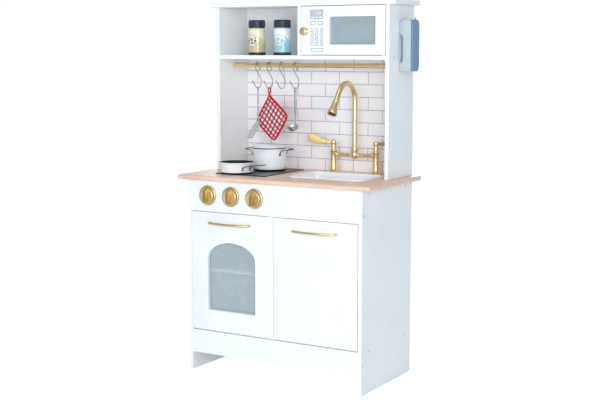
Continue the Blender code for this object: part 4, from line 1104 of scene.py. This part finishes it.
def make_pot():
    """White pot with a rolled rim and a wire handle on each side."""
    at = standing_place("pot")
    h, r, wall = 0.0680, 0.0480, 0.0014
    pot = turned("enamel_pot", [
        (0, 0.0020), (r - 0.0100, 0.0021), (r - 0.0060, 0.0034), (r - 0.0030, 0.0070), (r - wall, 0.0130),
        (r - wall, h - 0.0068), (r - 0.0008, h - 0.0044), (r + 0.0010, h - 0.0022),
        (r + 0.0028, h - 0.0004), (r + 0.0038, h), (r + 0.0046, h - 0.0004), (r + 0.0048, h - 0.0014),
        (r + 0.0040, h - 0.0022), (r + 0.0022, h - 0.0034), (r + 0.0006, h - 0.0054), (r, h - 0.0078),
        (r, 0.0130), (r - 0.0006, 0.0086), (r - 0.0022, 0.0048), (r - 0.0046, 0.0018),
        (r - 0.0062, 0.0008), (r - 0.0080, 0.0), (0, 0.0)], at, steps=96)
    coat(pot, ENAMEL, BLACK_SHADE, DARK_EDGE_AND_SHADE)
    # painted shade: black round the foot and a dark band under the rolled rim
    coat_where(pot, 1, lambda p, n: p.z < at.z + 0.0046 and n.z < 0.4)
    coat_where(pot, 2, lambda p, n: at.z + h - 0.0050 < p.z < at.z + h - 0.0020 and n.z < 0
               and n.dot(Vector((p.x - at.x, p.y - at.y, 0))) > 0)
    put(pot, "pot", "pot")
    for turn, side in ((0.0, "right"), (pi, "left")):
        make_pot_handle(at, r, radians(9) + turn, side)


def make_pot_handle(at, r, direction, side):
    """Wire arm bent out from two round pads on the pot's wall."""
    spread_angle = radians(30)
    arm = [(30, 0.0490, 0.0470), (30, 0.0500, 0.0505), (29.8, 0.0516, 0.0545), (29.2, 0.0545, 0.0575),
           (28, 0.0585, 0.0592), (25, 0.0640, 0.0600), (20, 0.0675, 0.0602), (14, 0.0696, 0.0603),
           (7, 0.0706, 0.0604), (0, 0.0709, 0.0604)]
    arm += [(-a, d, z) for a, d, z in reversed(arm[:-1])]
    wire = tube("arm", [around(at, direction + radians(a), d, 0.0, z) for a, d, z in arm], 0.0013,
                finer=4)
    pads = []
    for s in (-1, 1):
        spin = direction + s * spread_angle
        pads.append(turned("pad", [(0, 0.0010), (0.0022, 0.0009), (0.0034, 0.0005), (0.0036, -0.0006),
                                   (0, -0.0006)],
                           around(at, spin, r + 0.0001, 0.0, 0.0455), (0, pi / 2, spin), 24))
    put(coat(join(f"pot_wire_{side}", wire, *pads), DARK_STEEL), "pot", "pot_handle_" + side)


# ------------------------------------------------------------------ jars
JAR_R = 0.0246


def make_jar(kind, low_colour, high_colour, grain):
    """Straight wall tinted by its filling, with painted shade in black on its foot."""
    at = Vector((middle(kind + "_jar").x, middle(kind + "_jar").y, lowest(kind + "_jar").z - 0.0003))
    jar = turned(kind + "_jar_wall", [
        (0, 0.0840), (0.0200, 0.0840), (0.0205, 0.0836), (0.0205, 0.0768), (0.0212, 0.0756),
        (0.0228, 0.0744), (0.0240, 0.0728), (0.0246, 0.0700), (0.0246, 0.0380), (0.0246, 0.0086),
        (0.0247, 0.0079), (0.0250, 0.0074), (0.0250, 0.0016), (0.0246, 0.0006), (0.0238, 0.0003),
        (0, 0.0003)], at, steps=72)
    glaze = filled(kind + "_filling", low_colour, high_colour, at.z + 0.020, at.z + 0.060, grain)
    coat(jar, glaze, BLACK_SHADE)
    # painted shade: the foot band in black
    coat_where(jar, 1, lambda p, n: p.z < at.z + 0.0078)
    put(jar, kind + "_jar", kind + "_jar")
    make_jar_cap(kind, at)
    make_jar_label(kind, at)


def make_jar_cap(kind, at):
    """Screw cap with fine upright grips round its side."""
    cap = turned(kind + "_cap_moulded", [
        (0, 0.0978), (0.0180, 0.0980), (0.0205, 0.0983), (0.0222, 0.0980), (0.0232, 0.0970),
        (0.0236, 0.0955), (0.0237, 0.0800), (0.0238, 0.0785), (0.0238, 0.0769), (0.0232, 0.0764),
        (0.0210, 0.0764), (0.0208, 0.0770), (0.0208, 0.0843), (0, 0.0843)], at, steps=96)
    begin(cap)

    def outer_side(p, n):
        outward = Vector((p.x - at.x, p.y - at.y, 0))
        return (abs(n.z) < 0.2 and outward.length > 0.0230 and n.dot(outward) > 0
                and at.z + 0.080 < p.z < at.z + 0.0955)

    pick_faces(cap, outer_side)
    bpy.ops.mesh.inset(thickness=0.00022, depth=-0.0002, use_individual=True)
    end()
    smooth(cap, 40)
    put(coat(cap, BLACK_PLASTIC), kind + "_jar", kind + "_cap")


def make_jar_label(kind, at):
    """Oval label with a rim and a plain picture: peppercorns, or salt crystals."""
    label_turn = radians(-6) if kind == "pepper" else radians(2)

    def wrapped(name, loops, proud=0.00022, thick=0.00012):
        """Flat print bent round the jar's wall."""
        piece = plate(name, loops, thick)
        mod = piece.modifiers.new("finer", 'SUBSURF')
        mod.subdivision_type = 'SIMPLE'
        mod.levels = mod.render_levels = 2
        use_modifiers(piece)
        for v in piece.data.vertices:
            turn = v.co.x / JAR_R + label_turn
            r = JAR_R + proud + v.co.z
            v.co = (at.x + r * sin(turn), at.y - r * cos(turn), at.z + 0.0405 + v.co.y)
        return piece

    rx, ry, line = 0.0275, 0.0160, 0.0010
    field = wrapped(kind + "_label", [oval(rx, ry, 60)], 0.00012, 0.00016)
    put(coat(field, LABEL), kind + "_jar", slot=kind + "_jar")
    marks = [wrapped("rim", [oval(rx, ry, 60), oval(rx - line, ry - line, 60)])]
    if kind == "pepper":
        for x, y, r in ((-0.0075, -0.001, 0.0030), (0.0, 0.0030, 0.0034), (0.0078, -0.0005, 0.0030),
                        (0.0015, -0.0058, 0.0026), (-0.0055, -0.0082, 0.0018), (0.0082, -0.0078, 0.0019),
                        (-0.0065, 0.0070, 0.0020), (0.0072, 0.0072, 0.0022)):
            marks.append(wrapped("corn", [oval(r * 1.2, r * 1.1, 20, x * 1.5, y * 1.1)]))
    else:
        for x, y, r in ((-0.0125, 0.0, 0.0044), (0.0, 0.0042, 0.0052), (0.0125, -0.0004, 0.0044),
                        (0.0, -0.0082, 0.0036)):
            diamonds = [[(x + k, y), (x, y + k), (x - k, y), (x, y - k)] for k in (r, r * 0.6)]
            marks.append(wrapped("crystal", diamonds))
    put(coat(join(kind + "_label_marks", *marks), INK), kind + "_jar", slot=kind + "_jar")


# ------------------------------------------------------------------ phone
def make_phone():
    """Handset lying along the side panel: pale shell, coloured back over a dark sheet that shows as
    painted shade in the gap between them, and a ring.
    """
    lo, hi = lowest("phone_handset"), highest("phone_handset")
    x0, width = SIDE_X, hi.y - lo.y
    profile = [(0.0305, 0.8368), (0.0040, 0.8366), (0.0018, 0.8378), (0.0004, 0.8404), (0.0004, 0.8560),
               (0.0018, 0.8588), (0.0062, 0.8606), (0.0092, 0.8624), (0.0104, 0.8660), (0.0107, 0.8720),
               (0.0108, 0.8800), (0.0108, 0.8960), (0.0108, 0.9120), (0.0106, 0.9210), (0.0103, 0.9260),
               (0.0090, 0.9296), (0.0058, 0.9322), (0.0020, 0.9345), (0.0004, 0.9385), (0.0004, 0.9600),
               (0.0012, 0.9645), (0.0032, 0.9684), (0.0064, 0.9712), (0.0125, 0.9733), (0.0315, 0.9733),
               (0.0337, 0.9706), (0.0343, 0.9660), (0.0343, 0.8405), (0.0332, 0.8382)]
    body = plate("phone_shell", [profile], width, 0.0026, 5)
    stand_up(body, (x0, (lo.y + hi.y) / 2, 0))
    begin(body)
    bpy.ops.mesh.select_all(action='SELECT')
    bpy.ops.mesh.remove_doubles(threshold=0.00005)
    end()
    put(coat(smooth(body, 50), PHONE_GREY), "phone", "phone_handset")
    y0, y1 = lowest("phone_cover").y, highest("phone_cover").y
    z0, z1 = lowest("phone_cover").z, 0.9725
    outline = rounded_box(y0, y1, z0, z1, 0.0034, 3)
    rear = [(y1 - 0.0105, z0), (y1 - 0.0058, z0 + 0.0024), (y1 - 0.0014, z0 + 0.0092), (y1, z0 + 0.0180),
            (y1, z1 - 0.0180), (y1 - 0.0014, z1 - 0.0092), (y1 - 0.0058, z1 - 0.0024), (y1 - 0.0105, z1)]
    outline = rear + [point for point in outline if point[0] < (y0 + y1) / 2]
    lying_to_side = Matrix(((0, 0, 1, 0), (1, 0, 0, 0), (0, 1, 0, 0), (0, 0, 0, 1)))
    # the dark sheet under the coloured back is painted shade in the gap between shell and cover
    layers = (("phone_gap_painted_shade", 0.0348, 0.0012, 0.0004, DARK_EDGE_AND_SHADE, ()),
              ("phone_skin", 0.0354, 0.0032, 0.0014, PHONE_BLUE, ("phone_cover",)))
    for name, x, thick, edge, finish, stands in layers:
        skin = soften(plate(name, [outline], thick), edge, 3, 30)
        skin.data.transform(Matrix.Translation((x0 + x + thick / 2, 0, 0)) @ lying_to_side)
        put(coat(skin, finish), "phone", *stands, slot="phone_cover")
    ring_z = highest("phone_cover").z - 0.0038
    line = [Vector((x0 + 0.0362, y, z)) for y, z in oval(0.0030, 0.0030, 16, -0.0685, ring_z)]
    ring = tube("phone_hanging_ring", line, 0.0008, True, 4, 4)
    put(coat(ring, DARK_EDGE_AND_SHADE), "phone", slot="phone_cover")


# ------------------------------------------------------------------ screws in the side panels
def make_screws():
    """Cross-headed screws that hold the boards, the same on both side panels."""
    spots = ((-0.1195, 0.8735), (-0.254, 0.5276), (-0.0416, 0.5274), (-0.2885, 0.4735), (-0.0405, 0.1125),
             (-0.2494, 0.1125), (-0.2885, 0.0806))
    dome = [(0, 0.0004), (0.0016, 0.00036), (0.0024, 0.0002), (0.0027, 0.00002), (0, 0.00002)]
    for side, sign in (("left", -1), ("right", 1)):
        heads = [turned("head", dome, (sign * SIDE_X, y, z), (0, sign * pi / 2, 0), 24) for y, z in spots]
        put(coat(join(f"panel_screws_{side}", *heads), SCREW), "cabinet", slot="lower_side_" + side)
        # the crosses are black blocks: painted shade in the screws' cross recesses
        marks = []
        for y, z in spots:
            at = Vector((sign * (SIDE_X + 0.00036), y, z))
            for dy, dz in ((0.0013, 0.00028), (0.00028, 0.0013)):
                arm = Vector((0.00012, dy, dz))
                marks.append(block("slot", at - arm, at + arm, 0))
        put(coat(join(f"screw_cross_painted_shade_{side}", *marks), BLACK_SHADE), "cabinet", slot="lower_side_" + side)


# ------------------------------------------------------------------ pot holder
PAD_SIDE = 0.0985
PAD_CELLS = 48
PAD_THICK = 0.0020
PAD_TOP_Z = highest("pot_holder").z - 0.0212
PAD_LEAN = radians(9)
QUILT_PITCH = PAD_SIDE / 4
PUFF = 0.0016
BINDING_WIDTH, BINDING_THICK = 0.0078, 0.0052


def hang_pad(point):
    """From the flat pad (its corner up) to its hanging place: leaning in its plane, bowed and turned."""
    across, proud, down = Matrix.Rotation(PAD_LEAN, 3, 'Y') @ Vector(point)
    reach = across / 0.07
    twist = radians(-17 + 3 * max(reach, 0))
    bow = -0.006 * min(reach, 0) ** 2
    spot = Matrix.Rotation(twist, 3, 'Z') @ Vector((across, bow - proud, 0))
    return Vector((HOOK_X[1], HANG.y, PAD_TOP_Z)) + spot + Vector((0, 0, -down))


def round_corner(point):
    """Pull the pad's corners in a little, all but the one it hangs by."""
    if point.x > 0 and point.y > 0:
        return point
    pull_in = 0.10 * (abs(point.x * point.y) / (PAD_SIDE / 2) ** 2) ** 3
    return Vector((point.x * (1 - pull_in), point.y * (1 - pull_in), point.z))


def hung(point):
    """Where a point of the flat square is once the square hangs by its corner."""
    flat = Matrix.Rotation(radians(45), 3, 'Z') @ round_corner(point)
    return hang_pad((flat.x, flat.z, PAD_SIDE / sqrt(2) - flat.y))


def puff_up(pad):
    """Cloth blown up a little between its stitching, which stays where it is."""
    quilt = pad.vertex_groups.new(name="quilting")
    for v in pad.data.vertices:
        u, w = (v.co.x + PAD_SIDE / 2) / QUILT_PITCH, (v.co.y + PAD_SIDE / 2) / QUILT_PITCH
        near = min(abs(u - round(u)), abs(w - round(w))) * QUILT_PITCH
        quilt.add([v.index], 1.0 if near < 0.0008 else 0.0, 'REPLACE')
    rest = [v.co.copy() for v in pad.data.vertices]
    cloth = pad.modifiers.new("stuffing", 'CLOTH')
    cloth.settings.quality = 5
    cloth.settings.mass = 0.15
    cloth.settings.tension_stiffness = 20
    cloth.settings.compression_stiffness = 20
    cloth.settings.bending_stiffness = 0.2
    cloth.settings.use_pressure = True
    cloth.settings.uniform_pressure_force = 4.0
    cloth.settings.effector_weights.gravity = 0.0
    cloth.settings.vertex_group_mass = "quilting"
    cloth.collision_settings.use_collision = False
    for step in range(1, 21):
        bpy.context.scene.frame_set(step)
    use_modifiers(pad)
    bpy.context.scene.frame_set(1)
    for v, start in zip(pad.data.vertices, rest):
        move = v.co - start
        if move.length > PUFF:
            move *= PUFF / move.length
        v.co = start + move


def make_pot_holder():
    """Quilted square with its check on a UV map in metres, hung by one corner."""
    clear_selection()
    bpy.ops.mesh.primitive_grid_add(x_subdivisions=PAD_CELLS, y_subdivisions=PAD_CELLS, size=PAD_SIDE,
                                    calc_uvs=True)
    pad = named("gingham_pad")
    edge = PAD_SIDE / 2 + 0.003
    for loop in pad.data.loops:
        co = pad.data.vertices[loop.vertex_index].co
        pad.data.uv_layers["UVMap"].data[loop.index].uv = (co.x + edge, co.y + edge)
    body = pad.modifiers.new("body", 'SOLIDIFY')
    body.thickness = PAD_THICK
    body.offset = 0.0
    use_modifiers(pad)
    puff_up(pad)
    for v in pad.data.vertices:
        v.co = hung(v.co)
    finer = pad.modifiers.new("finer", 'SUBSURF')
    finer.levels = finer.render_levels = 1
    use_modifiers(pad)
    put(coat(smooth(pad, 60), CHECK), "pot_holder", "pot_holder")


def make_pad_binding():
    """Flattened tape round the edge of the square."""
    half = PAD_SIDE / 2 - BINDING_WIDTH * 0.38
    corners = [(half, half), (-half, half), (-half, -half), (half, -half)]
    per_side = 16
    line = []
    for (ax, ay), (bx, by) in zip(corners, corners[1:] + corners[:1]):
        for k in range(per_side):
            t = (k + 0.5) / per_side
            line.append(Vector((ax + (bx - ax) * t, ay + (by - ay) * t, 0)))
    tape = tube("pad_binding", line, BINDING_WIDTH / 2, True, 3, 2)
    for v in tape.data.vertices:
        v.co = hung(Vector((v.co.x, v.co.y, v.co.z * BINDING_THICK / BINDING_WIDTH)))
    put(coat(smooth(tape, 60), RED_TAPE), "pot_holder", slot="pot_holder")


def make_pad_loop():
    """Tape loop from the hook down to the pad's corner."""
    middle_z = highest("pot_holder").z - 0.0117
    line = []
    for k in range(20):
        a = 2 * pi * k / 20
        high = 0.0092 if sin(a) > 0 else 0.0112
        wide = 0.0040 if sin(a) > -0.3 else 0.0024
        line.append(Vector((HOOK_X[1] + wide * cos(a), HANG.y + 0.0004 * sin(3 * a),
                            middle_z + high * sin(a))))
    tape = tube("holder_tape_loop", line, 0.0018, True, 4, 4)
    put(coat(tape, RED_TAPE), "pot_holder", slot="pot_holder")


# ------------------------------------------------------------------ make everything
make_worktop()
make_hob()
make_basin()
make_drain()
make_oven_door()
make_handle("oven_handle", "oven_door")
make_handle("cupboard_handle", "cupboard_door")
make_microwave_knob()
make_microwave_trim()
make_keypad()
make_display()
for knob, lean in (("burner_knob_left", 0.0), ("burner_knob_centre", radians(2)),
                   ("burner_knob_right", radians(-5))):
    make_burner_knob(knob, lean)
make_faucet_columns()
make_faucet_bridge()
for side in ("left", "right"):
    make_faucet_lever(side)
make_spray_head(make_spout())
make_rail()
for number in (1, 2, 3, 4):
    make_hook(number)
make_spatula()
make_ladle()
make_pan()
make_pot()
make_jar("pepper", (0.72, 0.61, 0.36), (0.86, 0.80, 0.60), 0.0014)
make_jar("salt", (0.42, 0.70, 0.85), (0.85, 0.95, 0.96), 0.0034)
make_phone()
make_screws()
make_pot_holder()
make_pad_binding()
make_pad_loop()

# ------------------------------------------------------------------ floor, light and camera
clear_selection()
bpy.ops.mesh.primitive_plane_add(size=14, location=(0, 0, -0.0005))
floor = named("studio_floor")
floor_mat, floor_tree, floor_shader = new_finish("studio_floor_white", rough=0.6,
                                                 Emission_Color=(1.0, 1.0, 1.0, 1.0))
glow = sums(floor_tree, 'MULTIPLY', add_node(floor_tree, "LightPath").outputs["Is Camera Ray"], 0.60)
floor_tree.links.new(glow, floor_shader.inputs["Emission Strength"])
floor_tint = shades(floor_tree, cloud(floor_tree, own_place(floor_tree), 0.8),
                    (0.3, (0.93, 0.93, 0.935)), (0.7, (0.95, 0.95, 0.955)))
floor_tree.links.new(floor_tint, floor_shader.inputs["Base Color"])
coat(floor, floor_mat)

world = bpy.data.worlds.new("studio")
world.use_nodes = True
sky = world.node_tree
sky.nodes["Background"].inputs["Color"].default_value = (0.80, 0.91, 1.0, 1.0)
sky.nodes["Background"].inputs["Strength"].default_value = 0.52
backdrop = add_node(sky, "Background", {"Color": (1.0, 1.0, 1.0, 1.0), "Strength": 1.0})
seen = add_node(sky, "LightPath")
either = add_node(sky, "MixShader", {0: seen.outputs["Is Camera Ray"],
                                     1: sky.nodes["Background"].outputs[0],
                                     2: backdrop.outputs[0]})
sky.links.new(either.outputs[0], sky.nodes["World Output"].inputs["Surface"])
bpy.context.scene.world = world


def lamp(name, place, aim, size, power, colour=(1, 1, 1)):
    """Softbox at a place, facing a point; size in metres and power in watts."""
    data = bpy.data.lights.new(name, 'AREA')
    data.shape = 'RECTANGLE'
    data.size, data.size_y = size
    data.energy = power
    data.color = colour
    obj = bpy.data.objects.new(name, data)
    obj.location = place
    obj.rotation_mode = 'QUATERNION'
    obj.rotation_quaternion = (Vector(aim) - Vector(place)).to_track_quat('-Z', 'Y')
    bpy.context.scene.collection.objects.link(obj)


lamp("front_softbox", (0.1, -4.2, 1.25), (0, 0, 0.6), (2.2, 1.8), 28)
lamp("right_softbox", (2.6, -3.0, 1.35), (0, 0, 0.6), (1.4, 1.6), 50, (0.94, 0.98, 1.0))
lamp("low_fill", (1.0, -2.6, 0.62), (-0.2, -0.1, 0.75), (0.9, 0.6), 8)
lamp("top_softbox", (0.2, -1.2, 3.2), (0, 0, 0.5), (1.6, 1.2), 9)
lamp("back_softbox", (-1.4, 3.0, 1.8), (0, 0, 0.5), (1.8, 1.8), 36)

camera_data = bpy.data.cameras.new("camera")
camera_data.lens = 70.77
camera_data.sensor_width = 36.0
camera = bpy.data.objects.new("camera", camera_data)
camera.location = Vector((1.65296, -2.93024, 0.89637)) + ORIGIN
camera.rotation_euler = (radians(90 - 7.298), 0.0, radians(30.678))
bpy.context.scene.collection.objects.link(camera)
bpy.context.scene.camera = camera
bpy.context.scene.view_settings.view_transform = 'Standard'
